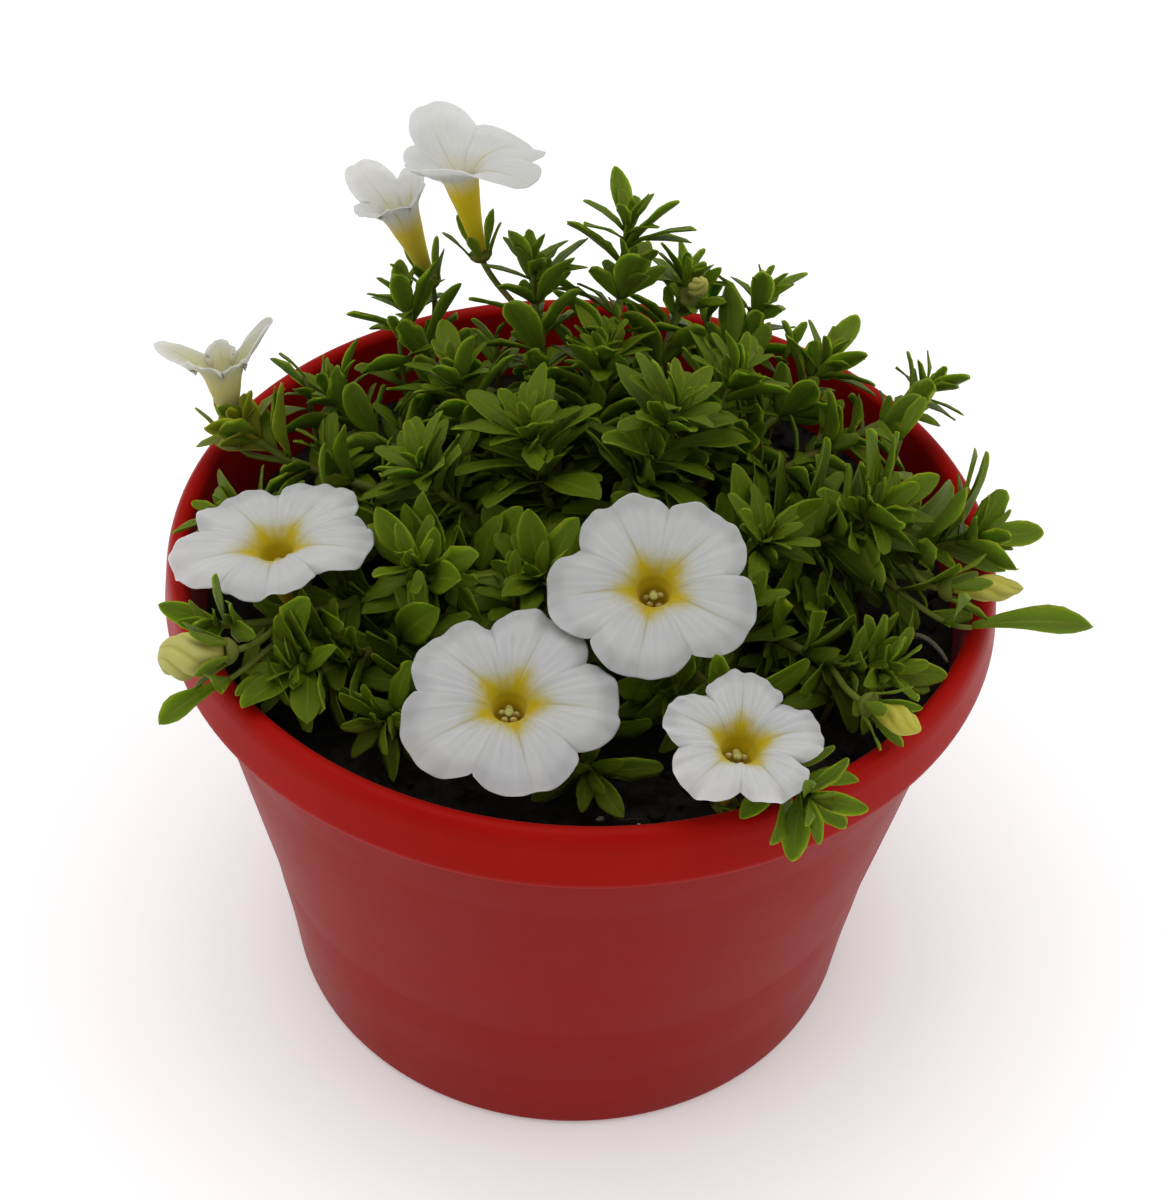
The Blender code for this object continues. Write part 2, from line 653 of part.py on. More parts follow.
def drop_scraps(mesh):
    """Deletes the specks that a join can leave beside the body: loose pieces of a few corners."""
    whole = bmesh.new()
    whole.from_mesh(mesh)
    unseen = set(whole.verts)
    while unseen:
        piece = {unseen.pop()}
        front = list(piece)
        while front:
            near = [e.other_vert(v) for v in front for e in v.link_edges]
            front = [v for v in set(near) if v in unseen]
            unseen.difference_update(front)
            piece.update(front)
        if len(piece) <= SCRAP_CORNERS:
            bmesh.ops.delete(whole, geom=list(piece), context="VERTS")
    whole.to_mesh(mesh)
    whole.free()


def new_collection(name):
    made = bpy.data.collections.new(name)
    bpy.context.scene.collection.children.link(made)
    return made


def upright_cylinder(x, y, low, high, radius, sides):
    return facing_out(stem_rings([(x, y, low), (x, y, high)], (radius, radius), sides))


def make_pot():
    pot = add_object("pot", pot_solid(), "red plastic")
    drills = new_collection("drain holes")
    for k in range(DRAIN_HOLES):
        turn = 2 * math.pi * (k + 0.5) / DRAIN_HOLES
        x, y = DRAIN_CIRCLE * math.cos(turn), DRAIN_CIRCLE * math.sin(turn)
        drill = upright_cylinder(x, y, -3.0, FLOOR_TOP + 3.0, DRAIN_RADIUS, 8)
        add_object(f"drill {k}", drill, "red plastic", drills)
    apply_boolean(pot, drills, "DIFFERENCE", "MANIFOLD")
    shade(pot, 30)
    return pot


def make_soil():
    soil = add_object("soil", soil_solid(), "compost")
    crumble(soil)
    drills = new_collection("stem holes")
    for shoot in SHOOTS:
        x, y, z = stem_curve(shoot)[0]
        drill = upright_cylinder(
            x, y, z - STEM_DEPTH - SOIL_GAP, z + 6.0, STEM_RADIUS + STEM_HOLE_PLAY, HOLE_SIDES
        )
        add_object(f"drill {shoot[0]}", drill, "compost", drills)
    apply_boolean(soil, drills, "DIFFERENCE", "MANIFOLD")


def make_leafy_stem(shoot, leaves):
    """One stem with its leaves, flower stalks and calyces, joined into a single body."""
    name = f"leafy_stem_{shoot[0]}"
    stem = add_object(name, facing_out(stem_solid(shoot)), "leaf green")
    parts = new_collection(f"{name} parts")
    solids = [blade_solid(leaf, STATIONS) for leaf in leaves] + list(stalk_solids(shoot[0]))
    for number, solid in enumerate(solids):
        add_object(f"{name} part {number}", facing_out(solid), "leaf green", parts)
    apply_boolean(stem, parts, "UNION", "MANIFOLD")
    shade(stem, 40)


def shade(made, degrees):
    made.data.shade_smooth()
    made.data.set_sharp_from_angle(angle=math.radians(degrees))


def main():
    clear_scene()
    make_pot()
    make_soil()
    pot_corners = pot_solid()
    leaves = plan_leaves((tree_of(pot_corners), reach_of(pot_corners)))
    for shoot in SHOOTS:
        make_leafy_stem(shoot, leaves[shoot[0]])
    for bloom in BLOOMS:
        shade(add_object(f"bloom_{bloom[0]}", facing_out(corolla_solid(bloom)), "petal white"), 50)
    for bud in BUDS:
        shade(add_object(f"bud_{bud[0]}", facing_out(bud_solid(bud)), "bud yellow"), 50)


main()
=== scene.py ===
"""Looks of a calibrachoa in a red plastic pot: fine leaves, stems, trumpet flowers, buds, crumbly compost and
a moulded pot, each fitted to its solid in the frame. The plan is in millimetres, meshes in metres, +Z up."""

import math
import random

import bpy
import numpy as np
from mathutils import Matrix, Vector
from mathutils.bvhtree import BVHTree


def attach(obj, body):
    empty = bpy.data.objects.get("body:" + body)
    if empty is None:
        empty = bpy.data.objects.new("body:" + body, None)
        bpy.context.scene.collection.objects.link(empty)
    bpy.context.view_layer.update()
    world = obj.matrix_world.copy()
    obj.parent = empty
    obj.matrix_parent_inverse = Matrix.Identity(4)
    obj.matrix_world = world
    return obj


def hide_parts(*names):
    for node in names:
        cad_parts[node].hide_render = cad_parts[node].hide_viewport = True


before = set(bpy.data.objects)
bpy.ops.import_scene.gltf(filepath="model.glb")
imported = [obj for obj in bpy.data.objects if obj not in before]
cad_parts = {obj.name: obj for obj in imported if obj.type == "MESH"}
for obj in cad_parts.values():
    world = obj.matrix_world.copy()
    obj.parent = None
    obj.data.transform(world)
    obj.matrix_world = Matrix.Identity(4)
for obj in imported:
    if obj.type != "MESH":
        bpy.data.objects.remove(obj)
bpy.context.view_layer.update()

# The plant's plan, in millimetres, with the origin under the middle of the pot

MM = 0.001
SEED = 27
UP = np.array((0.0, 0.0, 1.0))
GOLDEN_ANGLE = math.radians(137.508)

# The pot is a turned profile; its wall widens gently and ends in a rim with a turned-down skirt
POT_HEIGHT = 89.8
POT_WALL = 1.6
FLOOR_TOP = 2.8
WALL_RINGS = [(50.3, 1.3), (51.5, 15.0), (53.2, 30.0), (61.6, 80.0)]
GROOVE_TOP = 86.4
SKIRT_RINGS = [(63.3, 86.0), (63.6, 80.7), (64.8, 80.7), (65.0, 81.4), (64.1, 87.4)]
RIM_INNER_RADIUS = 60.7
POT_SIDES = 32
DRAIN_HOLES = 6
DRAIN_RADIUS = 3.4
DRAIN_CIRCLE = 38.0
PAD_RADIUS = 12.0
RECESS = 1.3
FOOT_INNER_RADIUS = 45.2

# The compost fills the pot to a little under the rim and is mounded in the middle
SOIL_GAP = 0.3
SOIL_EDGE_Z = 77.0
SOIL_MOUND = 2.4
SOIL_RADIUS = 59.0
STEM_DEPTH = 7.0

# Stems stand nearer the middle than their tips lean out
STEM_RADIUS = 1.0
STEM_TIP_RADIUS = 0.8
STEM_STATIONS = 6
ROOT_PULL = 0.42
LOWEST_LEAF = 0.30
LEAF_THICKNESS = 0.9
ROOT_OFFSET = 0.1

# Leafy stems: name, tip (x, y, z), lean from upright in degrees, leaves, longest leaf
SHOOTS = [
    ("back_middle", (5, 42, 117), 16, 11, 14.5),
    ("back_left_middle", (-10, 37, 112), 18, 10, 14.0),
    ("back_right_middle", (15, 45, 106), 20, 9, 13.0),
    ("back_right", (28, 44, 103), 28, 9, 13.0),
    ("right_back", (38, 31, 100), 32, 9, 14.0),
    ("far_right_back", (54, 25, 100), 46, 10, 12.0),
    ("back_left", (-31, 40, 102), 24, 10, 14.0),
    ("left_back", (-42, 25, 94), 40, 9, 14.0),
    ("far_left_back", (-54, 12, 97), 36, 9, 13.5),
    ("far_left", (-54, -6, 94), 55, 7, 13.0),
    ("right", (43, -8, 101), 28, 12, 16.5),
    ("far_right", (58, -8, 97), 62, 12, 18.0),
    ("right_front", (43, -32, 92), 50, 10, 14.0),
    ("front_right", (31, -58, 94.0), 66, 8, 12.5),
    ("left_front", (-40, -35, 90), 42, 10, 14.0),
    ("far_left_front", (-51, -31, 95), 58, 8, 12.0),
    ("front_left", (-27, -39, 85), 64, 6, 14.0),
    ("middle_left", (-25, 1, 99), 20, 10, 14.5),
    ("middle", (-9, 6, 103), 12, 11, 15.0),
    ("middle_right", (13, 6, 108), 14, 11, 15.5),
    ("middle_low_left", (-24, -19, 96), 26, 9, 15.0),
    ("middle_front", (-6, -17, 93), 24, 9, 15.0),
    ("middle_back", (2, 25, 104), 16, 10, 14.5),
    ("middle_back_right", (23, 21, 104), 20, 10, 14.5),
    ("middle_back_left", (-21, 22, 101), 22, 10, 14.5),
    ("middle_right_front", (27, -12, 98), 26, 10, 15.0),
    ("front_middle_right", (14, -33, 87), 40, 8, 14.0),
    ("front_middle", (2, -46, 84), 62, 4, 15.0),
]

# Open flowers: name, stem that bears it, middle of the limb, the way it faces, limb radius,
# tube length, depth of the notches between lobes, cup of the limb and turn of its first lobe in degrees
BLOOMS = [
    ("left", "far_left", (-45, -16, 95.5), (-0.12, 0.08, 0.98), 15.2, 13.0, 0.21, 8, 58),
    ("front_left", "middle_front", (-9.2, -44.3, 94), (0.02, -0.23, 0.97), 15.4, 11.5, 0.20, 4, 70),
    ("front_middle", "middle_right_front", (10.3, -27, 101), (-0.04, -0.38, 0.92), 15.0, 13.0, 0.20, 6, 44),
    ("front_right", "front_right", (22, -52, 95.5), (0.08, -0.10, 0.99), 11.6, 11.5, 0.27, 10, 88),
    ("back", "back_left_middle", (-21.5, 40, 126.0), (-0.24, 0.10, 0.97), 13.0, 12.5, 0.24, 0, 114),
    ("back_left", "back_left", (-31.5, 47, 114), (-0.36, 0.10, 0.93), 10.5, 11.0, 0.38, 46, 130),
    ("far_left_fading", "far_left_back", (-57, 15, 104), (-0.10, 0.20, 0.97), 13.0, 9.0, 0.62, 30, 30),
]

# The five lobes of each flower, counted from its first: share of the limb's radius, lift in degrees
EVEN_LOBES = ((1.0, 0), (0.96, 3), (1.02, -2), (0.97, 2), (1.0, -1))
LOBES = {
    "back": ((1.18, 46), (0.74, 36), (0.80, 44), (1.06, -4), (1.16, -10)),
    "back_left": ((1.35, -2), (0.78, -5), (0.70, 6), (0.75, 6), (0.90, 0)),
    "far_left_fading": ((1.0, 20), (0.6, 30), (0.95, 6), (0.75, 16), (0.5, 30)),
}

# Leaves that stand out in the photo's outline: stem, share along it, end of a twig or None for none,
# heading, length, width
PLACED_LEAVES = [
    ("far_right", 0.50, (57, -23.5, 93.5), (0.984, 0.14, 0.10), 18.4, 6.0),
    ("front_right", 0.97, None, (-0.12, -0.85, -0.42), 9.6, 3.8),
    ("front_right", 0.93, None, (0.90, 0.12, 0.12), 8.8, 3.4),
    ("front_right", 0.91, None, (-0.76, -0.60, -0.12), 8.8, 3.4),
    ("far_left_front", 0.60, (-49.5, -41.0, 93.0), (-0.76, -0.62, -0.05), 10.0, 4.4),
    ("left_front", 0.97, None, (-0.55, -0.76, 0.33), 12.0, 4.6),
    ("left_front", 0.93, None, (0.10, -0.95, 0.30), 12.0, 5.0),
]

# Closed buds: name, stem that bears it, base, the way it points, length, radius, how pointed from 0 to 1
BUDS = [
    ("far_left_front", "far_left_front", (-49, -38, 96.5), (-0.93, -0.34, 0.10), 9.0, 3.5, 0.15),
    ("far_right", "far_right", (54, -18, 96), (0.97, 0.04, 0.02), 10.5, 2.3, 0.60),
    ("right_front", "right_front", (40.5, -42.5, 95.5), (0.62, -0.55, 0.12), 8.0, 2.2, 0.55),
    ("back_right", "back_right_middle", (16, 42, 105), (0.25, -0.55, 0.80), 7.0, 1.7, 0.40),
]


# Directions, curves and closed grids

SIDE_GUIDE = (0.31, 0.95, 0.05)
WHOLE_TURN = 6.28


def unit(vector):
    vector = np.asarray(vector, float)
    return vector / np.linalg.norm(vector)


def side_axes(heading):
    """Two unit vectors square to the heading and to each other."""
    first = unit(np.cross(heading, SIDE_GUIDE))
    return first, np.cross(heading, first)


def around(axes, turn):
    """The direction at one angle from the first of two axes towards the second."""
    return math.cos(turn) * axes[0] + math.sin(turn) * axes[1]


def circle(axes, turn):
    """The same for an array of angles."""
    return np.cos(turn)[..., None] * axes[0] + np.sin(turn)[..., None] * axes[1]


def polar(radius, turn):
    return radius * math.cos(turn), radius * math.sin(turn)


def ring_turns(count):
    """Angles of the corners of a ring."""
    return np.arange(count) * 2 * np.pi / count


def cubic(points, t):
    """Points of a cubic curve through its first and last control point, for an array t from 0 to 1."""
    a, b, c, d = np.asarray(points, float)
    t = np.asarray(t, float)[:, None]
    return a * (1 - t) ** 3 + 3 * b * t * (1 - t) ** 2 + 3 * c * t * t * (1 - t) + d * t**3


def cubic_heading(points, t):
    """Unit direction of travel along that curve at one t."""
    a, b, c, d = np.asarray(points, float)
    return unit((b - a) * (1 - t) ** 2 + 2 * (c - b) * t * (1 - t) + (d - c) * t * t)


def flared(base, facing, axes, out, height, turn):
    """Points base + out times the direction at turn + height times facing."""
    return base + out[..., None] * circle(axes, turn) + height[..., None] * facing


def turned_grid(profile, turns):
    """Rings of a turned body: (r cos a, r sin a, z) for each (r, z) of the profile and each angle a."""
    profile, turn = np.asarray(profile, float), ring_turns(turns)
    radius, height = profile[:, :1], profile[:, 1:]
    return np.stack(np.broadcast_arrays(radius * np.cos(turn), radius * np.sin(turn), height), axis=-1)


def tube_grid(points, radii, sides):
    """Rings of a round tube: each point + radius times the circle square to the direction of travel."""
    points = np.asarray(points, float)
    heading = np.gradient(points, axis=0)
    heading /= np.linalg.norm(heading, axis=1)[:, None]
    first = np.cross(heading, SIDE_GUIDE)
    first /= np.linalg.norm(first, axis=1)[:, None]
    axes = first[:, None], np.cross(heading, first)[:, None]
    return points[:, None] + np.asarray(radii)[:, None, None] * circle(axes, ring_turns(sides))


def closed_grid(grid, ends):
    """Corners, quads and triangles of a grid of rings whose first and last ring each close on one end. With b
    next to a in its ring, a quad runs a, b, then the corners over b and a in the next ring."""
    rows, turns = grid.shape[:2]
    ring = np.arange(turns)
    after = np.roll(ring, -1)
    a, b = (np.arange(rows - 1)[:, None] * turns + side for side in (ring, after))
    quads = np.stack([a, b, b + turns, a + turns], axis=-1).reshape(-1, 4)
    total, last = rows * turns, (rows - 1) * turns
    below = np.stack([np.full(turns, total), after, ring], axis=-1)
    above = np.stack([np.full(turns, total + 1), ring + last, after + last], axis=-1)
    return np.concatenate([grid.reshape(-1, 3), ends]), quads, np.concatenate([below, above])


# The plan's solids, which say where leaves have room

STATIONS = (0.0, 0.42, 0.80)


def solid_of(grid, ends):
    corners, quads, triangles = closed_grid(grid, ends)
    return corners, quads.tolist() + triangles.tolist()


def tube_solid(points, radii, sides):
    return solid_of(tube_grid(points, radii, sides), (points[0], points[-1]))


def soil_height(x, y):
    """Height of the compost: a low mound, with crumbs left out."""
    return SOIL_EDGE_Z + SOIL_MOUND * np.maximum(0.0, 1.0 - (x * x + y * y) / SOIL_RADIUS**2)


def shoot_named(name):
    return next(shoot for shoot in SHOOTS if shoot[0] == name)


def stem_curve(shoot):
    """Control points from the compost to the tip: upright at the foot, leaning out at the tip."""
    tip = np.array(shoot[1], float)
    outward = unit((tip[0], tip[1], 0.0))
    lean = math.radians(shoot[2])
    heading = math.sin(lean) * outward + math.cos(lean) * UP
    root = np.array((tip[0] * ROOT_PULL, tip[1] * ROOT_PULL, 0.0))
    root[2] = soil_height(root[0], root[1])
    reach = np.linalg.norm(tip - root)
    return [root, root + UP * 0.42 * reach, tip - heading * 0.36 * reach, tip]


def stem_points(shoot):
    """Stations of a stem: its buried end, the compost, then along its curve."""
    curve = stem_curve(shoot)
    return np.concatenate([[curve[0] - UP * STEM_DEPTH], cubic(curve, np.linspace(0.0, 1.0, STEM_STATIONS))])


def stem_place(shoot, t):
    """A point on a stem's middle line as built, which runs straight from station to station."""
    points = stem_points(shoot)[1:]
    at = t * (len(points) - 1)
    before = min(int(at), len(points) - 2)
    return points[before] + (points[before + 1] - points[before]) * (at - before)


def stem_solid(shoot):
    points = stem_points(shoot)
    return tube_solid(points, np.linspace(STEM_RADIUS, STEM_TIP_RADIUS, len(points)), 3)


def leaf_plan(root, heading, down, length, width, arch, share, fold=0.22, thickness=LEAF_THICKNESS):
    """What a leaf is drawn from: arch in radians, fold as a share of the half width, share as its age."""
    return dict(root=root, heading=heading, down=down, length=length, width=width, arch=arch, share=share,
                fold=fold, thickness=thickness)


def leaf_axes(heading, turn, pitch):
    """Outward, forward and downward directions of a leaf at a turn round its stem and a pitch from it."""
    out = around(side_axes(heading), turn)
    forward = math.cos(pitch) * heading + math.sin(pitch) * out
    return out, forward, unit(forward * math.cos(pitch) - heading)


def blade_width(t):
    """Half width of a leaf from root to tip, as a share of its widest: a stalk, then a long oval."""
    return np.maximum(np.sin(np.pi * np.clip(t, 0, 1) ** 1.4) ** 0.7, 0.14 * (1 - t))


def blade_frame(leaf, t):
    """Middle line and downward normal of a leaf that arches evenly from its heading."""
    bend = leaf["arch"] * t[:, None]
    forward, down = leaf["heading"], leaf["down"]
    line = forward * np.sin(bend) + down * (1 - np.cos(bend))
    middle = leaf["root"] + leaf["length"] / leaf["arch"] * line
    return middle, down * np.cos(bend) - forward * np.sin(bend)


def blade_solid(leaf, stations=STATIONS, grow=0.0):
    """A leaf as a closed blade with a rib below, its edges raised a little.
    Each station is a ring of left edge, right edge, rib; the last corner is the point."""
    t = np.array(stations)
    middle, down = blade_frame(leaf, t)
    side = np.cross(leaf["heading"], leaf["down"])
    half = (leaf["width"] / 2 * blade_width(t) + grow)[:, None]
    lift = down * (leaf["fold"] * half + leaf["thickness"] / 3 + grow)
    rib = middle + down * (leaf["thickness"] * 2 / 3 + grow)
    rings = np.stack([middle - side * half - lift, middle + side * half - lift, rib], axis=1)
    tip = blade_frame(leaf, np.array((1.0 + grow / leaf["length"],)))[0]
    corners = np.concatenate([rings.reshape(-1, 3), tip])
    point = len(corners) - 1
    faces = [(0, 1, 2)]
    for ring in range(0, point - 3, 3):
        for k in range(3):
            a, b = ring + k, ring + (k + 1) % 3
            faces.append((a, a + 3, b + 3, b))
    faces += [(point - 3 + k, point, point - 3 + (k + 1) % 3) for k in range(3)]
    return corners, faces


POT_FOOT = [(PAD_RADIUS, 0.0), (PAD_RADIUS, RECESS), (FOOT_INNER_RADIUS, RECESS), (FOOT_INNER_RADIUS, 0.0),
            (WALL_RINGS[0][0] - 1.0, 0.0)]


def inner_wall(play=0.0):
    """The pot's inner face, from the floor to the rim."""
    rings = [(r - POT_WALL - play, z) for r, z in WALL_RINGS[1:]]
    return [(WALL_RINGS[0][0] - POT_WALL - play + 0.2, FLOOR_TOP)] + rings


def pot_solid():
    lip = [(62.9, POT_HEIGHT), (61.6, POT_HEIGHT), (RIM_INNER_RADIUS, POT_HEIGHT - 0.8)]
    profile = POT_FOOT + WALL_RINGS + [(61.9, GROOVE_TOP)] + SKIRT_RINGS + lip + inner_wall()[::-1]
    return solid_of(turned_grid(profile, POT_SIDES), [(0, 0, 0), (0, 0, FLOOR_TOP)])


PETALS = 5
CALYX_HEIGHT = 1.8
CALYX_RADIUS = 2.3
PEDICEL_HOOK = 4.0
PEDICEL_SHARE = 0.72
SEAT_GAP = 0.3
TUBE_FOOT_RADIUS = 1.15
THROAT_RADIUS = 3.0
THROAT_SHOULDER = 1.5
PETAL_THICKNESS = 0.8
CALYX_SIDES = 5
SEPAL_SIZE = (7.0, 2.1, 0.30)  # length, width and arch
SEPAL_AGE, SEPAL_FOLD, SEPAL_THICKNESS, SEPAL_CIRCLE, SEPAL_DROP = 0.8, 0.12, 0.75, 1.65, 1.0
PEDICEL_RADIUS, TWIG_RADIUS = 0.62, 0.7
THROAT_DEPTH = 0.62
OUTER_STATIONS, INNER_STATIONS, COROLLA_TURNS = (0.0, 0.28, 0.5, 0.74, 1.0), (1.0, 0.74, 0.52), 20
BUD_STATIONS, BUD_SIDES, BUD_TWIST = np.linspace(0.0, 0.96, 6), 10, 1.2


def flower_base(bloom):
    """Where a flower's tube meets its calyx."""
    return np.array(bloom[2], float) - unit(bloom[3]) * bloom[5]


def flower_axes(facing):
    """Across and along the limb, so that turns are counted from +X towards +Y on a flower that faces up."""
    across = unit(np.cross((0.0, 1.0, 0.0), facing))
    return across, np.cross(facing, across)


def lobe_values(bloom, turn):
    """Length share and lift at an angle, blended from each lobe to the next by squared cosines."""
    length, lift = np.zeros_like(turn), np.zeros_like(turn)
    for k, (share, degrees) in enumerate(LOBES.get(bloom[0], EVEN_LOBES)):
        centre = math.radians(bloom[8]) + 2 * np.pi * k / PETALS
        away = np.abs((turn - centre + np.pi) % (2 * np.pi) - np.pi)
        weight = np.where(away < 2 * np.pi / PETALS, np.cos(away * PETALS / 4) ** 2, 0.0)
        length, lift = length + weight * share, lift + weight * math.radians(degrees)
    return length, lift


def limb_outline(bloom, turn):
    """Share of the limb's radius at an angle: five rounded lobes, a little blunt, with notches between."""
    notch = bloom[6]
    lobes = (turn - math.radians(bloom[8])) / (2 * np.pi / PETALS)
    away = np.abs((lobes + 0.5) % 1.0 - 0.5) * 2
    return 1 - notch * away ** (3.2 - 2.6 * notch) - 0.02 * np.exp(-((away / 0.16) ** 2))


def corolla_surface(bloom, u, turn):
    """Outer face of the trumpet. u runs from the tube's foot (0) through the throat (0.5) to the rim (1). Up
    to the throat the radius widens as a power of u; past it the spread grows to the lobes' outline and leans
    by the cup and each lobe's lift. Creases, a rolled edge and a rounded shoulder change the height."""
    facing, radius, tube = unit(bloom[3]), bloom[4], bloom[5]
    cup, first = bloom[7:]
    u, turn = np.broadcast_arrays(u[:, None], turn[None, :])
    in_tube = np.clip(u / 0.5, 0, 1)
    in_limb = np.clip((u - 0.5) / 0.5, 0, 1)
    share, lift = lobe_values(bloom, turn)
    tube_radius = TUBE_FOOT_RADIUS + (THROAT_RADIUS - TUBE_FOOT_RADIUS) * in_tube**1.5
    spread = in_limb**0.9 * (radius * share * limb_outline(bloom, turn) - THROAT_RADIUS)
    rise = math.radians(cup) + lift * in_limb
    crease = -np.cos((turn - math.radians(first)) * PETALS) * 0.035 * spread
    roll = -0.075 * radius * in_limb**3
    shoulder = THROAT_SHOULDER * (1 - np.exp(-9 * in_limb))
    height = tube * in_tube + spread * np.sin(rise) + shoulder + crease + roll
    base = flower_base(bloom) + facing * SEAT_GAP
    return flared(base, facing, flower_axes(facing), tube_radius + spread * np.cos(rise), height, turn)


def corolla_solid(bloom, grow=0.0):
    """A trumpet with a wall: the outer face, then the inner face down to the bottom of the throat."""
    facing = unit(bloom[3])
    turn = ring_turns(COROLLA_TURNS) + math.radians(bloom[8])
    outer = corolla_surface(bloom, np.array(OUTER_STATIONS), turn) - facing * grow
    inner = corolla_surface(bloom, np.array(INNER_STATIONS), turn)
    inner = inner + facing * PETAL_THICKNESS + facing * grow
    base = flower_base(bloom) + facing * SEAT_GAP
    return solid_of(np.concatenate([outer, inner]), (base, base + facing * bloom[5] * THROAT_DEPTH))


def bud_swell(t, pointed):
    """Radius of a bud from its foot to its tip, as a share of its widest."""
    body = 0.30 + 0.70 * np.sin(np.pi * np.clip(t * 0.92 + 0.02, 0, 1) ** 1.25)
    return body * (1 - pointed * t**3.5)


def bud_solid(bud, grow=0.0):
    """A furled bud: a teardrop whose pleats twist round it."""
    base, facing, length, radius, pointed = bud[2:]
    facing = unit(facing)
    start = np.array(base, float) + facing * SEAT_GAP
    t, turn = BUD_STATIONS[:, None], ring_turns(BUD_SIDES)[None, :]
    out = radius * bud_swell(t, pointed) * (1 + 0.07 * np.cos(PETALS * (turn - BUD_TWIST * t))) + grow
    grid = flared(start, facing, side_axes(facing), out, t * length, turn)
    return solid_of(grid, (start, start + facing * (length + grow)))


def sepals(base, facing):
    """Five small leaves round the foot of a flower's tube, leaning out a little."""
    axes = side_axes(facing)
    for k in range(PETALS):
        out = around(axes, 2 * np.pi * (k + 0.5) / PETALS)
        heading = unit(facing * 0.92 + out * 0.38)
        down = unit(out - heading * np.dot(out, heading))
        root = base + out * SEPAL_CIRCLE - facing * SEPAL_DROP
        yield leaf_plan(root, heading, down, *SEPAL_SIZE, SEPAL_AGE, SEPAL_FOLD, SEPAL_THICKNESS)


def calyx_solids(base, facing):
    """A small cup under a flower and the five sepals that stand round the tube."""
    facing = unit(facing)
    points = [base - facing * CALYX_HEIGHT, base - facing * 0.7, base]
    yield tube_solid(points, (0.75, CALYX_RADIUS * 0.85, CALYX_RADIUS), CALYX_SIDES)
    for sepal in sepals(base, facing):
        yield blade_solid(sepal, (0.0, 0.5))


def pedicel_points(stem_name, base, facing, count=4):
    """A flower's own stalk, from the upper part of its stem to the calyx."""
    shoot = shoot_named(stem_name)
    foot = stem_place(shoot, PEDICEL_SHARE)
    end = np.asarray(base, float) - unit(facing) * (CALYX_HEIGHT - 0.4)
    reach = np.linalg.norm(end - foot)
    start_way = unit(cubic_heading(stem_curve(shoot), PEDICEL_SHARE) + unit(end - foot))
    turn_in = unit(facing) * min(PEDICEL_HOOK, reach * 0.35)
    return cubic([foot, foot + start_way * reach * 0.3, end - turn_in, end], np.linspace(0, 1, count))


def flower_stalks(stem_name):
    """Base and facing of every flower and bud that a stem bears."""
    found = [(flower_base(b), b[3]) for b in BLOOMS if b[1] == stem_name]
    return found + [(np.array(b[2], float), b[3]) for b in BUDS if b[1] == stem_name]


def twig_points(row, count=4):
    """A short side branch from its stem to the root of a placed leaf."""
    shoot = shoot_named(row[0])
    foot, end = stem_place(shoot, row[1]), np.array(row[2], float)
    way = cubic_heading(stem_curve(shoot), row[1])
    pull = np.linalg.norm(end - foot) * 0.25
    return cubic([foot, foot + way * pull, end - unit(row[3]) * pull, end], np.linspace(0, 1, count))


def placed_leaf(row):
    """A leaf from the table of leaves that stand out, arching gently down."""
    stem_name, t, end, heading, length, width = row
    root = np.array(end, float) if end else stem_place(shoot_named(stem_name), t)
    heading = unit(heading)
    down = unit(-UP + heading * heading[2])
    return leaf_plan(root + heading * ROOT_OFFSET, heading, down, length, width, 0.35, 0.6)


def stalk_solids(stem_name):
    """The stalks and calyces on a stem, and its placed leaves with their twigs."""
    for base, facing in flower_stalks(stem_name):
        yield tube_solid(pedicel_points(stem_name, base, facing), [PEDICEL_RADIUS] * 4, 4)
        yield from calyx_solids(base, facing)
    for row in PLACED_LEAVES:
        if row[0] == stem_name:
            if row[2]:
                yield tube_solid(twig_points(row), [TWIG_RADIUS] * 4, 4)
            yield blade_solid(placed_leaf(row))


# Leaves are placed in turn up each stem; one that would cross another part is turned, raised or shortened

# Each change is a turn round the stem and a rise in degrees, and a share of the length
LEAF_TRIES = [
    (0, 0, 1.0), (16, 0, 1.0), (-16, 0, 1.0), (0, -14, 1.0), (0, 12, 0.94), (30, -8, 0.94),
    (-30, -8, 0.94), (12, -28, 0.88), (-12, -28, 0.88), (45, 0, 0.85), (-45, 0, 0.85),
    (0, -40, 0.8), (60, -18, 0.8), (-60, -18, 0.8),
]
GUARD = 0.42
FLOWER_GUARD = 0.3
SOIL_CLEARANCE = 1.2
HIGHEST_LEAF = 0.985
LOW_LEAF_PITCH = 76
PITCH_RISE = 46
PITCH_WOBBLE = 10


def leaf_at(shoot, rank, wobble, change):
    """The leaf of one rank on a stem, counted from the lowest, with one of the changes that clear it."""
    share = rank / max(1, shoot[3] - 1)
    t = LOWEST_LEAF + (HIGHEST_LEAF - LOWEST_LEAF) * share**0.82
    turn = rank * GOLDEN_ANGLE + wobble[0] * WHOLE_TURN + math.radians(change[0])
    rise = PITCH_RISE * share**1.6 - PITCH_WOBBLE * (wobble[1] - 0.5)
    pitch = math.radians(LOW_LEAF_PITCH - rise + change[1])
    out, forward, down = leaf_axes(cubic_heading(stem_curve(shoot), t), turn, pitch)
    length = shoot[4] * (0.90 + 0.26 * wobble[2]) * (1 - 0.30 * share**2.5) * change[2]
    width = length * (0.40 - 0.10 * share + 0.07 * wobble[3])
    arch = 0.18 + 0.5 * wobble[4] * (1 - 0.5 * share)
    return leaf_plan(stem_place(shoot, t) + out * ROOT_OFFSET, forward, down, length, width, arch, share)


def obstacle(solid):
    """A solid as a tree of its faces with the two corners of its box."""
    corners, faces = solid
    tree = BVHTree.FromPolygons([tuple(c) for c in corners], faces, all_triangles=False)
    return tree, corners.min(axis=0), corners.max(axis=0)


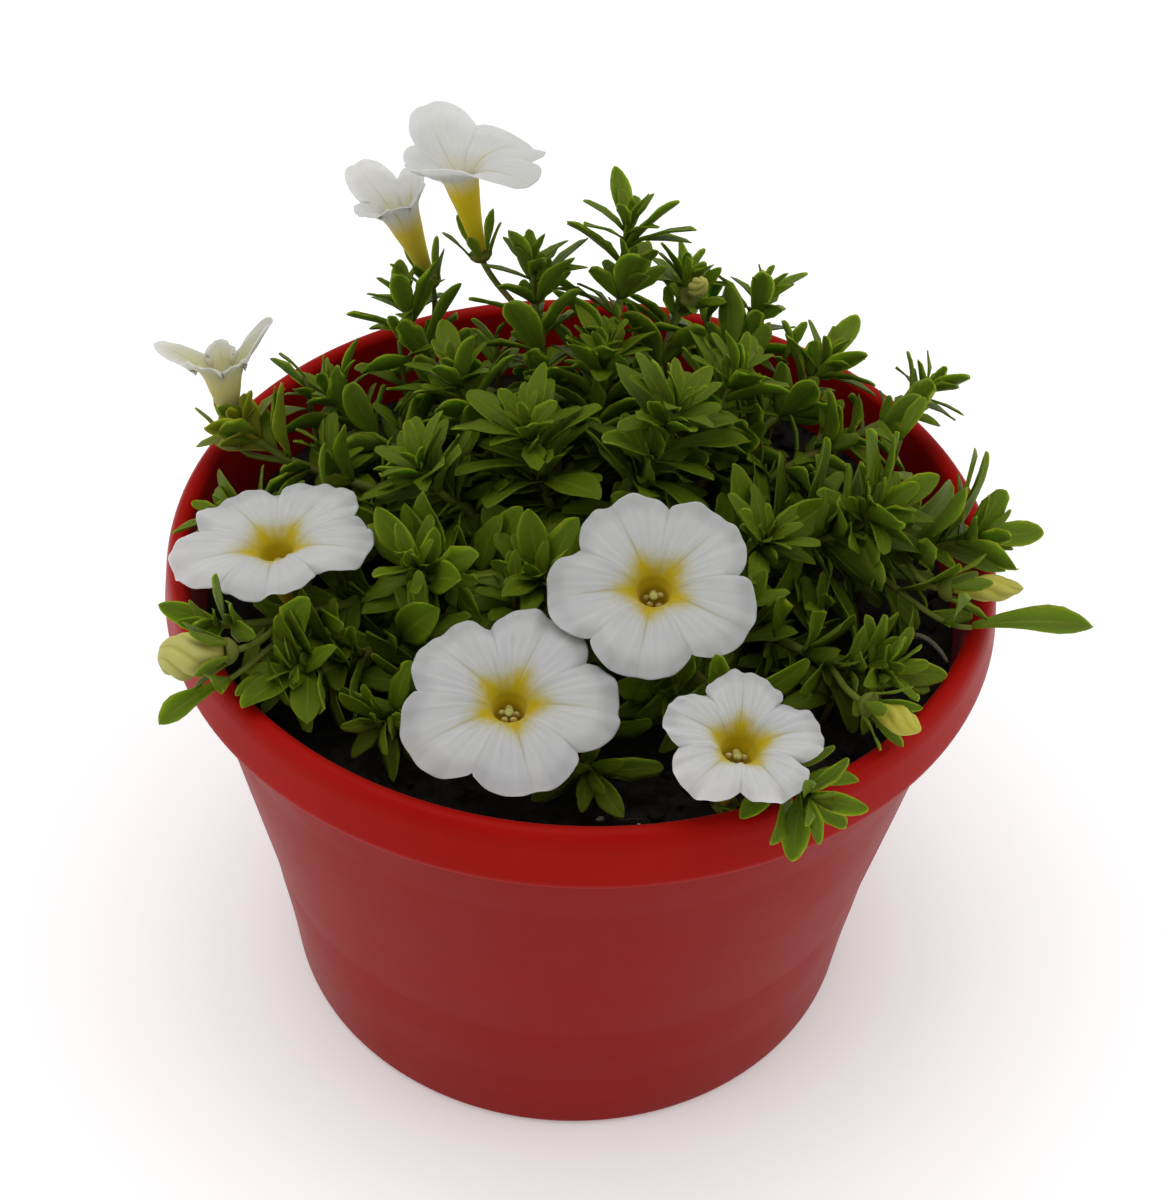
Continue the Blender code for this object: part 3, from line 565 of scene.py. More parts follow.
def fits(leaf, grow, clearance, others):
    """Whether a leaf with a margin round it stays above the compost and meets none of the other parts."""
    guard = blade_solid(leaf, grow=grow)
    above = guard[0][3:]
    if (above[:, 2] < soil_height(*above[:, :2].T) + clearance).any():
        return False
    tree, low, high = obstacle(guard)
    return not any(np.all(low <= other_high) and np.all(high >= other_low) and tree.overlap(other)
                   for other, other_low, other_high in others)


def flower_obstacles(grow):
    """Every open flower and bud with a margin round it."""
    solids = [corolla_solid(b, grow) for b in BLOOMS] + [bud_solid(b, grow) for b in BUDS]
    return [obstacle(solid) for solid in solids]


def plan_leaves(pot):
    """Every stem's leaves, placed so that no leaf meets the pot, the compost, a flower or another stem."""
    rng = random.Random(SEED)
    fixed = [pot] + flower_obstacles(FLOWER_GUARD)
    owned = {s[0]: [obstacle(p) for p in (stem_solid(s), *stalk_solids(s[0]))] for s in SHOOTS}
    leaves = {s[0]: [] for s in SHOOTS}
    for rank in range(max(s[3] for s in SHOOTS)):
        for shoot in SHOOTS:
            name = shoot[0]
            wobble = [rng.random() for k in range(5)]
            wobble[0] = random.Random(name).random() + 0.04 * (wobble[0] - 0.5)
            place = shoot[3] - 1 - rank
            if place < 0:
                continue
            others = fixed + [part for n, parts in owned.items() if n != name for part in parts]
            for change in LEAF_TRIES:
                leaf = leaf_at(shoot, place, wobble, change)
                if fits(leaf, GUARD, SOIL_CLEARANCE, others):
                    owned[name].append(obstacle(blade_solid(leaf)))
                    leaves[name].append(leaf)
                    break
    return leaves


# Meshes from arrays

NO_UV = ((0.0, 0.0), (0.0, 0.0))


def closed_surface(grid, ends, uv=(0.0, 0.0), end_uv=NO_UV, under=0.0, end_under=(0.0, 0.0), tone=0.5,
                   age=0.5, finish=0):
    """One closed grid with what its material reads at each corner: uv, under, tone and age."""
    corners, quads, triangles = closed_grid(grid, ends)
    size = grid.shape[:2]
    uv = np.stack([np.broadcast_to(part, size) for part in uv], axis=-1).reshape(-1, 2)
    return {
        "corners": corners, "quads": quads, "triangles": triangles, "finish": finish,
        "uv": np.concatenate([uv, end_uv]), "under": np.append(np.broadcast_to(under, size), end_under),
        "tone": np.full(len(corners), float(tone)), "age": np.full(len(corners), float(age)),
    }


def pointing_out(surface):
    """The surface with its faces turned over if they enclose a negative volume."""
    c, q, t = surface["corners"], surface["quads"], surface["triangles"]
    c = c - c.mean(axis=0)
    halves = np.concatenate([q[:, [0, 1, 2]], q[:, [0, 2, 3]], t])
    a, b, d = c[halves[:, 0]], c[halves[:, 1]], c[halves[:, 2]]
    if np.einsum("ij,ij->", a, np.cross(b, d)) < 0:
        surface["quads"], surface["triangles"] = q[:, ::-1], t[:, ::-1]
    return surface


def joined_mesh(name, surfaces):
    """One mesh of closed surfaces, in metres, with their uv and the attributes tone, under and age."""
    start, corners, loops, sizes, finish_of = 0, [], [], [], []
    for surface in map(pointing_out, surfaces):
        corners.append(surface["corners"] * MM)
        for faces in (surface["quads"], surface["triangles"]):
            loops.append((faces + start).reshape(-1))
            sizes.append(np.full(len(faces), faces.shape[1]))
            finish_of.append(np.full(len(faces), surface["finish"]))
        start += len(surface["corners"])
    corners, loops, sizes = np.concatenate(corners), np.concatenate(loops), np.concatenate(sizes)
    mesh = bpy.data.meshes.new(name)
    mesh.vertices.add(len(corners))
    mesh.vertices.foreach_set("co", corners.astype(np.float32).reshape(-1))
    mesh.loops.add(len(loops))
    mesh.loops.foreach_set("vertex_index", loops.astype(np.int32))
    mesh.polygons.add(len(sizes))
    mesh.polygons.foreach_set("loop_start", (np.cumsum(sizes) - sizes).astype(np.int32))
    mesh.polygons.foreach_set("material_index", np.concatenate(finish_of).astype(np.int32))
    mesh.polygons.foreach_set("use_smooth", np.ones(len(sizes), bool))
    uv = np.concatenate([s["uv"] for s in surfaces])
    mesh.uv_layers.new(name="UVMap").data.foreach_set("uv", uv[loops].astype(np.float32).reshape(-1))
    for word in ("tone", "under", "age"):
        values = np.concatenate([s[word] for s in surfaces]).astype(np.float32)
        mesh.attributes.new(word, "FLOAT", "POINT").data.foreach_set("value", values)
    mesh.update(calc_edges=True)
    mesh.validate()
    return mesh


def add_object(name, data):
    made = bpy.data.objects.new(name, data)
    bpy.context.scene.collection.objects.link(made)
    return made


def make_piece(name, surfaces, finishes, replaced=()):
    """One object from closed surfaces, with its materials, riding on the object's one body."""
    piece = add_object(name, joined_mesh(name, surfaces))
    for finish in finishes:
        piece.data.materials.append(finish)
    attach(piece, "root")
    if replaced:
        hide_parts(*replaced)
    return piece


# Colours, linear

RIM_RED, RIM_RED_LIGHT = (0.285, 0.0025, 0.0008), (0.312, 0.0050, 0.0022)
WALL_RED, WALL_RED_LIGHT = (0.222, 0.0030, 0.0012), (0.240, 0.0052, 0.0026)
WALL_DUST = (0.32, 0.060, 0.050)
PEAT_DARK, PEAT_BROWN, PEAT_FIBRE = (0.0065, 0.0058, 0.0050), (0.023, 0.019, 0.015), (0.055, 0.043, 0.032)
PALE_GRAIN = (0.36, 0.34, 0.25)
LEAF_DARK, LEAF_MID, LEAF_YOUNG = (0.070, 0.104, 0.0020), (0.080, 0.120, 0.0028), (0.092, 0.128, 0.0030)
LEAF_LIGHT, LEAF_RIB, LEAF_UNDER = (0.080, 0.116, 0.003), (0.138, 0.168, 0.014), (0.098, 0.128, 0.016)
LEAF_YELLOW = (0.230, 0.200, 0.012)
STEM_GREEN, STEM_PALE, STEM_BROWN = (0.075, 0.100, 0.008), (0.115, 0.130, 0.020), (0.095, 0.048, 0.014)
# The petals' third colour is painted shade: grey laid into the creases between lobes and along fine radial
# grooves.
PETAL_WHITE, PETAL_COOL, PETAL_PAINTED_SHADE = (0.476, 0.476, 0.458), (0.436, 0.436, 0.436), (0.310, 0.310, 0.292)
PETAL_VEIN, PETAL_FADED = (0.300, 0.290, 0.110), (0.370, 0.350, 0.140)
THROAT_HALO, THROAT_YELLOW = (0.360, 0.320, 0.095), (0.400, 0.295, 0.003)
THROAT_AMBER, THROAT_DEEP = (0.640, 0.430, 0.003), (0.600, 0.350, 0.002)
TUBE_YELLOW, TUBE_AMBER = (0.520, 0.385, 0.006), (0.430, 0.270, 0.003)
# The buds' second colour is painted shade for the grooves between the pleats.
BUD_PALE, BUD_PAINTED_GROOVE_SHADE, BUD_GREEN, BUD_YELLOW = (
    (0.430, 0.410, 0.150), (0.300, 0.280, 0.050), (0.160, 0.190, 0.025), (0.400, 0.360, 0.022))
POLLEN, POLLEN_DARK = (0.50, 0.42, 0.16), (0.40, 0.28, 0.05)
STIGMA, STIGMA_DARK = (0.40, 0.40, 0.10), (0.28, 0.28, 0.05)


# Materials, in metres on Object coordinates or on a piece's own uv and attributes

class Graph:
    """One new material and short words for its nodes."""

    def __init__(self, name, colour, roughness, **sockets):
        self.finish = bpy.data.materials.new(name)
        self.finish.use_nodes = True
        self.tree = self.finish.node_tree
        self.shader = self.tree.nodes["Principled BSDF"]
        self.fed(self.shader, Base_Color=(*colour, 1.0), Roughness=roughness, **sockets)

    def put(self, kind, inputs=(), **settings):
        """A node with its settings and what its first inputs are fed."""
        node = self.tree.nodes.new(kind)
        for word, value in settings.items():
            setattr(node, word, value)
        for socket, value in zip(node.inputs, inputs):
            self.feed(socket, value)
        return node

    def feed(self, socket, value):
        if isinstance(value, bpy.types.NodeSocket):
            self.tree.links.new(value, socket)
        elif value is not None:
            socket.default_value = value

    def fed(self, node, **inputs):
        """The node with its named inputs fed; an underscore stands for a space."""
        for word, value in inputs.items():
            self.feed(node.inputs[word.replace("_", " ")], value)
        return node.outputs

    def math(self, operation, a, b=None, clamp=False):
        return self.put("ShaderNodeMath", (a, b), operation=operation, use_clamp=clamp).outputs[0]

    def times(self, a, b):
        return self.math("MULTIPLY", a, b)

    def minus(self, a, b, clamp=False):
        return self.math("SUBTRACT", a, b, clamp)

    def size(self, value):
        return self.math("ABSOLUTE", value)

    def waves(self, value, rate):
        """|sin(rate times value)|."""
        return self.size(self.math("SINE", self.times(value, rate)))

    def attribute(self, word):
        return self.put("ShaderNodeAttribute", attribute_name=word).outputs["Fac"]

    def split(self, vector):
        return self.put("ShaderNodeSeparateXYZ", (vector,)).outputs

    def uv(self):
        return self.split(self.put("ShaderNodeUVMap", uv_map="UVMap").outputs[0])[:2]

    def place(self, scale=(1.0, 1.0, 1.0)):
        where = self.put("ShaderNodeTexCoord").outputs["Object"]
        return self.fed(self.put("ShaderNodeMapping"), Vector=where, Scale=scale)[0]

    def noise(self, where, scale, detail=4.0, roughness=0.5):
        node = self.put("ShaderNodeTexNoise")
        return self.fed(node, Vector=where, Scale=scale, Detail=detail, Roughness=roughness)["Fac"]

    def ramp(self, value, low, high, to_low=0.0, to_high=1.0):
        """Value carried from the range low..high to the range to_low..to_high, smoothly and clamped."""
        inputs = (value, low, high, to_low, to_high)
        return self.put("ShaderNodeMapRange", inputs, interpolation_type="SMOOTHSTEP").outputs[0]

    def mix(self, share, a, b):
        node = self.put("ShaderNodeMix", (share,), data_type="RGBA")
        for socket, colour in zip(node.inputs[6:8], (a, b)):
            self.feed(socket, colour if isinstance(colour, bpy.types.NodeSocket) else (*colour, 1.0))
        return node.outputs[2]

    def bump(self, height, strength, distance, after=None):
        node = self.put("ShaderNodeBump")
        bumped = self.fed(node, Strength=strength, Distance=distance, Height=height, Normal=after)[0]
        self.fed(self.shader, Normal=bumped)
        return bumped

    def colour(self, value):
        self.fed(self.shader, Base_Color=value)

    def rough(self, value):
        self.fed(self.shader, Roughness=value)


def red_plastic_finish():
    """Satin moulded plastic: the rim is a purer red than the wall, which has faint dust and streaks."""
    g = Graph("red moulded plastic", RIM_RED, 0.42, Specular_IOR_Level=0.05, Sheen_Weight=0.05,
              Sheen_Roughness=0.30, Sheen_Tint=(1.0, 0.88, 0.90, 1.0))
    where = g.place()
    rim = g.ramp(g.split(where)[2], 0.0790, 0.0806)
    cloudy = g.noise(where, 38.0, 5.0, 0.6)
    streaks = g.noise(g.place((260.0, 260.0, 9.0)), 1.0, 3.0, 0.55)
    wall = g.mix(g.ramp(cloudy, 0.3, 0.75), WALL_RED, WALL_RED_LIGHT)
    wall = g.mix(g.times(g.ramp(streaks, 0.5, 0.9), 0.05), wall, WALL_DUST)
    g.colour(g.mix(rim, wall, g.mix(g.ramp(cloudy, 0.3, 0.8), RIM_RED, RIM_RED_LIGHT)))
    g.rough(g.ramp(cloudy, 0.2, 0.9, 0.36, 0.52))
    lumpy = g.bump(g.noise(where, 120.0, 2.0), 0.10, 0.0008)
    g.bump(g.noise(where, 2600.0, 2.0), 0.08, 0.00005, lumpy)
    return g.finish


def compost_finish():
    """Moist dark peat: near black with brown fibres; a tone near 1 is a pale grain."""
    g = Graph("moist compost", PEAT_DARK, 0.9, Specular_IOR_Level=0.08)
    where = g.place()
    coarse, fine = g.noise(where, 420.0, 6.0, 0.65), g.noise(where, 2400.0, 4.0, 0.6)
    dark = g.mix(g.ramp(coarse, 0.35, 0.7), PEAT_DARK, PEAT_BROWN)
    mixed = g.mix(g.times(g.ramp(fine, 0.62, 0.74), 0.6), dark, PEAT_FIBRE)
    g.colour(g.mix(g.ramp(g.attribute("tone"), 0.75, 1.0), mixed, PALE_GRAIN))
    g.rough(g.ramp(coarse, 0.3, 0.8, 0.65, 0.95))
    g.bump(fine, 0.5, 0.0004, g.bump(coarse, 0.8, 0.0012))
    return g.finish


def leaf_finish():
    """A leaf blade: dark olive that is brighter on young leaves, a pale midrib, faint side veins, a light
    margin and a paler underside. u runs across from edge to edge and v from the stalk to the tip; an age past
    1 turns the blade yellow."""
    g = Graph("calibrachoa leaf", LEAF_MID, 0.55, Specular_IOR_Level=0.10, Subsurface_Weight=0.40,
              Subsurface_Scale=0.0018, Subsurface_Radius=(0.5, 0.8, 0.2))
    where, (u, v), age = g.place(), g.uv(), g.attribute("age")
    across = g.size(g.minus(u, 0.5))
    mottle = g.noise(where, 300.0, 4.0, 0.55)
    blade = g.mix(g.attribute("tone"), LEAF_DARK, LEAF_MID)
    blade = g.mix(g.ramp(age, 0.55, 1.0, 0.0, 0.8), blade, LEAF_YOUNG)
    blade = g.mix(g.times(g.ramp(mottle, 0.35, 0.75), 0.35), blade, LEAF_LIGHT)
    rib = g.ramp(across, 0.018, 0.05, 0.6, 0.0)
    veins = g.waves(g.math("ADD", v, g.times(across, -0.45)), 26.0)
    for pale in (g.times(rib, g.ramp(v, 0.5, 1.0, 1.0, 0.2)), g.ramp(veins, 0.0, 0.16, 0.16, 0.0),
                 g.ramp(across, 0.44, 0.5, 0.0, 0.22)):
        blade = g.mix(pale, blade, LEAF_RIB)
    blade = g.mix(g.times(g.attribute("under"), 0.45), blade, LEAF_UNDER)
    g.colour(g.mix(g.ramp(age, 1.0, 1.5, 0.0, 0.8), blade, LEAF_YELLOW))
    g.rough(g.ramp(mottle, 0.3, 0.8, 0.48, 0.66))
    relief = g.bump(g.minus(g.times(veins, 0.25), g.times(rib, 0.8)), 0.35, 0.00025)
    g.bump(g.noise(where, 5200.0, 2.0), 0.25, 0.00008, relief)
    return g.finish


def stem_finish():
    """Soft stems: yellow green at the tip, browner towards the compost and in patches."""
    g = Graph("calibrachoa stem", STEM_GREEN, 0.6, Specular_IOR_Level=0.12)
    where, v = g.place(), g.uv()[1]
    young = g.mix(g.ramp(g.noise(where, 260.0, 4.0), 0.3, 0.75), STEM_GREEN, STEM_PALE)
    young = g.mix(g.ramp(g.noise(where, 120.0, 2.0), 0.56, 0.70, 0.0, 0.45), young, STEM_BROWN)
    g.colour(g.mix(g.ramp(v, 0.0, 0.45, 0.75, 0.0), young, STEM_BROWN))
    g.bump(g.noise(where, 3800.0, 2.0), 0.3, 0.0001)
    return g.finish


def petal_finish():
    """A petal: soft white with a yellow star round the throat, amber inside the tube, a pale yellow line down
    each lobe's middle, and grey painted shade in the crease between lobes and along fine radial grooves. u
    counts lobes round the flower, whole numbers at their middles; v runs from the tube's foot (0) through the
    throat (0.5) to the rim (1). under is 1 on the outside, tone is the star's strength and age is how far the
    flower has faded."""
    g = Graph("white petal", PETAL_WHITE, 0.65, Specular_IOR_Level=0.12, Sheen_Weight=0.06,
              Subsurface_Weight=0.75, Subsurface_Scale=0.0020, Subsurface_Radius=(1.0, 1.0, 0.95))
    where, (u, v), strength = g.place(), g.uv(), g.attribute("tone")
    lobe = g.size(g.minus(g.math("FRACT", g.math("ADD", u, 0.5)), 0.5))
    fine = g.noise(where, 900.0, 3.0)
    streak = g.waves(u, 44.0)
    white = g.mix(g.ramp(g.noise(where, 120.0, 3.0), 0.3, 0.7), PETAL_WHITE, PETAL_COOL)
    # Painted shade: grey in the crease between lobes on this line, and along the fine radial grooves of the
    # bump on the next, both stronger towards the throat.
    white = g.mix(g.times(g.ramp(lobe, 0.465, 0.5), g.ramp(v, 0.98, 0.6, 0.15, 0.5)), white, PETAL_PAINTED_SHADE)
    white = g.mix(g.times(g.ramp(streak, 0.0, 0.35, 0.10, 0.0), g.ramp(v, 1.0, 0.6)), white, PETAL_PAINTED_SHADE)
    line = g.minus(1.0, g.math("DIVIDE", lobe, g.ramp(v, 0.5, 1.0, 0.050, 0.009)), clamp=True)
    line = g.times(line, g.ramp(v, 0.55, 0.90, 0.75, 0.16))
    white = g.mix(line, white, PETAL_VEIN)
    reach = g.math("ADD", 0.534, g.times(g.ramp(lobe, 0.0, 0.30, 1.0, 0.0), 0.040))
    past = g.minus(v, g.math("ADD", reach, g.times(g.minus(fine, 0.5), 0.06)))
    halo = g.times(g.ramp(past, -0.02, 0.13, 0.65, 0.0), strength)
    star = g.times(g.ramp(past, -0.045, 0.055, 1.0, 0.0), strength)
    inside = g.mix(star, g.mix(halo, white, THROAT_HALO), THROAT_YELLOW)
    inside = g.mix(g.ramp(v, 0.49, 0.40, 0.0, 0.8), inside, THROAT_AMBER)
    inside = g.mix(g.ramp(v, 0.37, 0.22, 0.0, 0.95), inside, THROAT_DEEP)
    tube = g.mix(g.ramp(g.waves(u, 15.7), 0.0, 0.3, 0.5, 0.0), TUBE_YELLOW, TUBE_AMBER)
    outside = g.mix(g.ramp(v, 0.40, 0.60, 1.0, 0.0), g.mix(line, white, TUBE_YELLOW), tube)
    both = g.mix(g.attribute("under"), inside, outside)
    g.colour(g.mix(g.times(g.attribute("age"), g.ramp(v, 0.45, 0.95, 0.85, 0.25)), both, PETAL_FADED))
    g.bump(streak, 0.10, 0.0002, g.bump(fine, 0.10, 0.0003))
    return g.finish


def bud_finish():
    """A furled bud: pale yellow green with darker painted shade in the grooves between its pleats and greener
    pleats towards its foot, yellower with a higher tone.
    """
    g = Graph("furled bud", BUD_PALE, 0.55, Specular_IOR_Level=0.3, Subsurface_Weight=0.15,
              Subsurface_Scale=0.001, Subsurface_Radius=(1.0, 1.0, 0.4))
    where, (u, v) = g.place(), g.uv()
    # Painted shade: a darker olive in the grooves between the pleats, where the bud's surface dips.
    skin = g.mix(g.ramp(g.waves(u, math.pi), 0.0, 0.5, 0.7, 0.0), BUD_PALE, BUD_PAINTED_GROOVE_SHADE)
    skin = g.mix(g.ramp(v, 0.45, 0.0, 0.0, 0.75), skin, BUD_GREEN)
    g.colour(g.mix(g.times(g.attribute("tone"), 0.85), skin, BUD_YELLOW))
    g.bump(g.noise(where, 1600.0, 3.0), 0.2, 0.0002)
    return g.finish


def speckled_finish(name, colour, roughness, speckle):
    """A one-colour skin with soft speckles."""
    g = Graph(name, colour, roughness)
    grain = g.noise(g.place(), 2500.0, 3.0)
    g.colour(g.mix(g.ramp(grain, 0.35, 0.7), colour, speckle))
    g.bump(grain, 0.25, 0.0002)
    return g.finish


# Fine leaves and stems

LEAF_ROWS, LEAF_RING = 11, 10
LITTLE_LEAF_ROWS, LITTLE_LEAF_RING = 7, 6
BLADE_THICKNESS = 0.40
EDGE_THICKNESS = 0.17
RIB_DEPTH, RIB_WIDTH = 0.26, 0.16
EDGE_WAVE, EDGE_TURN, CURL = 9.0, 1.2, 0.16
YELLOWING = {"far_left_back": 0.55}
ROSETTE_LEAVES, AXIL_LEAVES, TWIG_LEAVES = 9, 3, 9
AXIL_CHANCE = 0.62
LITTLE_FOLD, LITTLE_THICKNESS, LITTLE_GUARD, LITTLE_CLEARANCE = 0.25, 0.5, 0.2, 0.8
YOUNG_SHOOTS, YOUNG_LEAVES = 46, 9
YOUNG_REACH, BARE_FRONT = 50.0, 26
FINE_STEM_RADII, TWIG_RADII, YOUNG_RADII, STALK_RADIUS = (0.95, 0.55), (0.60, 0.38), (0.6, 0.4), 0.5
STEM_ROWS, STALK_ROWS, TWIG_ROWS, YOUNG_ROWS = 34, 16, 12, 8
CALYX_RINGS, CALYX_TURNS = [(CALYX_HEIGHT, 0.7), (1.4, 1.35), (0.8, 1.85), (0.2, 2.0), (0.0, 1.6)], 20


def fine_width(t):
    """The plan's half width with a blunt tip: a stalk, then an oval that is widest past its middle."""
    body = np.sin(np.pi * np.clip(t, 0, 1) ** 1.42) ** 0.62
    return np.maximum(body, 0.13 * (1 - t) + 0.02)


def fine_leaf(leaf, rng, rows=LITTLE_LEAF_ROWS, ring=LITTLE_LEAF_RING):
    """A thin blade on the plan's middle line. For a share t along and a place s = cos q across, each point is
    middle(t) + side * s * half width(t), lifted by fold * half width * |s| towards the edges, sunk along the
    rib by a narrow bell, moved by a slow wave that grows to the edge, and curled down or up towards the tip.
    The thickness follows sin q, so the two faces meet in a rounded edge."""
    t = np.concatenate([np.linspace(0.0, 0.9, rows - 3), (0.94, 0.975, 0.995)])
    middle, down = blade_frame(leaf, t)
    tip = blade_frame(leaf, np.array([1.0]))[0][0]
    half = (leaf["width"] / 2 * fine_width(t))[:, None]
    t, q, width = t[:, None], ring_turns(ring), leaf["width"]
    s = np.cos(q)
    edge = np.abs(s)
    phase, ripple = rng.random() * WHOLE_TURN, 0.030 + 0.04 * rng.random()
    curl = (rng.random() - 0.35) * 0.5
    lift = leaf["fold"] * half * edge**1.2 + leaf["thickness"] / 3 * edge
    lift = lift - RIB_DEPTH * np.exp(-((s / RIB_WIDTH) ** 2)) * np.clip(half / 1.5, 0, 1)
    lift = lift + ripple * width * np.sin(t * EDGE_WAVE + phase + EDGE_TURN * np.sign(s)) * s * s
    lift = lift - curl * width * CURL * np.clip(t - 0.55, 0, 1) * 2
    thick = EDGE_THICKNESS + (BLADE_THICKNESS - EDGE_THICKNESS) * (1 - edge) ** 0.7
    lift = lift + thick * np.clip((1.03 - t) * 9, 0.25, 1.0) / 2 * np.sin(q)
    side = np.cross(leaf["heading"], leaf["down"])
    grid = middle[:, None, :] + side * (s * half)[..., None] - down[:, None, :] * lift[..., None]
    ends = middle[0], tip - down[-1] * lift[-1].mean()
    return closed_surface(grid, ends, ((s + 1) / 2, t), ((0.5, 0.0), (0.5, 1.0)), under=np.sin(q) < -0.1,
                          tone=rng.random(), age=leaf["share"])


def fine_tube(points, radii, sides=8, along=(0.0, 1.0), finish=1, tone=0.5):
    """A round stem through the points, closed at both ends."""
    v = np.linspace(*along, len(points))[:, None]
    ends, end_uv = (points[0], points[-1]), ((0.5, along[0]), (0.5, along[-1]))
    grid, uv = tube_grid(points, radii, sides), (ring_turns(sides) / (2 * np.pi), v)
    return closed_surface(grid, ends, uv, end_uv, tone=tone, finish=finish)


def fine_stem(shoot, rng):
    """The stem's own curve, a little swollen where leaves join it."""
    t = np.linspace(0.0, 1.0, STEM_ROWS)
    built = np.array([stem_place(shoot, k) for k in t])
    points = 0.5 * built + 0.5 * cubic(stem_curve(shoot), t)
    points = np.concatenate([[points[0] - UP * 3.0], points])
    swell = 1 + 0.12 * np.sin(np.linspace(0, 30, len(points)) + rng.random() * 6) ** 2
    return fine_tube(points, np.linspace(*FINE_STEM_RADII, len(points)) * swell)


def fine_stalk(stem_name, base, facing):
    """A flower's stalk: a blend of the plan's straight pieces and their smooth curve."""
    points, smooth = (pedicel_points(stem_name, base, facing, count) for count in (4, STALK_ROWS))
    fine = np.linspace(0, 1, STALK_ROWS) * (len(points) - 1)
    built = np.stack([np.interp(fine, np.arange(len(points)), points[:, k]) for k in range(3)], axis=1)
    return fine_tube(0.4 * built + 0.6 * smooth, np.full(STALK_ROWS, STALK_RADIUS), along=(0.6, 1.0))


def fine_calyx(base, facing, rng):
    """A bell-shaped cup: a turned profile from the stalk to the sepals, then the five sepals."""
    facing = unit(facing)
    depths, radii = zip(*CALYX_RINGS)
    yield fine_tube([base - facing * depth for depth in depths], radii, CALYX_TURNS, (0.8, 1.0))
    for sepal in sepals(base, facing):
        yield fine_leaf(sepal, rng, LITTLE_LEAF_ROWS + 2)


# Small leaves that the solids leave out, as rows of root, forward, down, length, width and age

def leaf_row(place, heading, turn, pitch, length, width, age):
    return (place, *leaf_axes(heading, turn, pitch)[1:], length, width, age)


def tip_rosette(shoot, rng):
    """Narrow young leaves round a stem's tip, the outer ones longer and leaning further out."""
    heading = cubic_heading(stem_curve(shoot), 1.0)
    first = rng.random() * WHOLE_TURN
    for k in range(ROSETTE_LEAVES):
        share = k / (ROSETTE_LEAVES - 1)
        pitch = math.radians(10 + 52 * share + 12 * rng.random())
        length = min(shoot[4], 15.0) * (0.40 + 0.26 * share + 0.10 * rng.random())
        root, turn = np.asarray(shoot[1], float) - heading * (2.6 * share - 0.5), first + k * GOLDEN_ANGLE
        yield leaf_row(root, heading, turn, pitch, length, length * 0.35, 1.0 - 0.35 * share)


def axil_tufts(leaves, rng):
    """Up to three leaves in each leaf's axil, spread to its sides and raised from it."""
    for leaf in leaves:
        for k in range(AXIL_LEAVES):
            if rng.random() > AXIL_CHANCE:
                continue
            side = (k - (AXIL_LEAVES - 1) / 2) * 0.75 + 0.25 * (rng.random() - 0.5)
            lean = unit(leaf["heading"] * 0.8 - leaf["down"] * (0.25 + 0.55 * rng.random())
                        + np.cross(leaf["heading"], leaf["down"]) * side)
            down = unit(leaf["down"] - lean * np.dot(leaf["down"], lean))
            length = leaf["length"] * (0.40 + 0.38 * rng.random())
            width = length * (0.36 + 0.07 * rng.random())
            yield leaf["root"], lean, down, length, width, 0.35 + 0.5 * rng.random()


def between_leaves(shoot, rng):
    """As many leaves again between those of the solid, a little shorter."""
    count = shoot[3]
    first = rng.random() * WHOLE_TURN
    for k in range(count):
        t = LOWEST_LEAF + (0.96 - LOWEST_LEAF) * (k + 0.5) / count
        place, heading = stem_place(shoot, t), cubic_heading(stem_curve(shoot), t)
        pitch = math.radians(74 - 30 * k / count + 16 * (rng.random() - 0.5))
        length = shoot[4] * (0.66 + 0.26 * rng.random())
        width = length * (0.35 + 0.08 * rng.random())
        yield leaf_row(place, heading, first + k * GOLDEN_ANGLE, pitch, length, width, 0.5 * k / count)


def twig_leaves(row, rng):
    """Leaves along the side branch that ends in a placed leaf."""
    places = twig_points(row, TWIG_LEAVES + 2)
    for k in range(1, TWIG_LEAVES + 1):
        pitch = math.radians(34 + 26 * rng.random())
        length = 8.0 + 5.0 * rng.random()
        yield leaf_row(places[k], unit(places[k + 1] - places[k - 1]), k * GOLDEN_ANGLE, pitch, length,
                       length * (0.34 + 0.08 * rng.random()), 0.5 + 0.4 * rng.random())


def little_leaves(rows, rng, obstacles):
    """The leaves of these rows. One that would meet a flower, the pot or the compost is left off."""
    for root, forward, down, length, width, age in rows:
        arch = 0.15 + 0.5 * rng.random()
        leaf = leaf_plan(root, forward, down, length, width, arch, age, LITTLE_FOLD, LITTLE_THICKNESS)
        if fits(leaf, LITTLE_GUARD, LITTLE_CLEARANCE, obstacles):
            yield fine_leaf(leaf, rng)


def young_shoots(rng):
    """Foot, tip and leaf length of short shoots between the main stems, in a sunflower pattern: the radius
    grows as the root of k and each turn is the golden angle. The front of the compost is left bare."""
    for k in range(YOUNG_SHOOTS):
        x, y = polar(YOUNG_REACH * math.sqrt((k + 0.5) / YOUNG_SHOOTS), k * GOLDEN_ANGLE)
        if y < -BARE_FRONT - 0.15 * abs(x):
            continue
        height = 9.0 + 7.0 * rng.random() + (5.0 if y > 10 else 0.0)
        x, y = x * 1.06, y * 1.06
        rng.random()  # keeps the order of draws
        tip = np.array((x, y, SOIL_EDGE_Z + 2 + height))
        yield np.array((x * 0.94, y * 0.94, soil_height(x, y) - 1.0)), tip, 11.5 + 2.5 * rng.random()


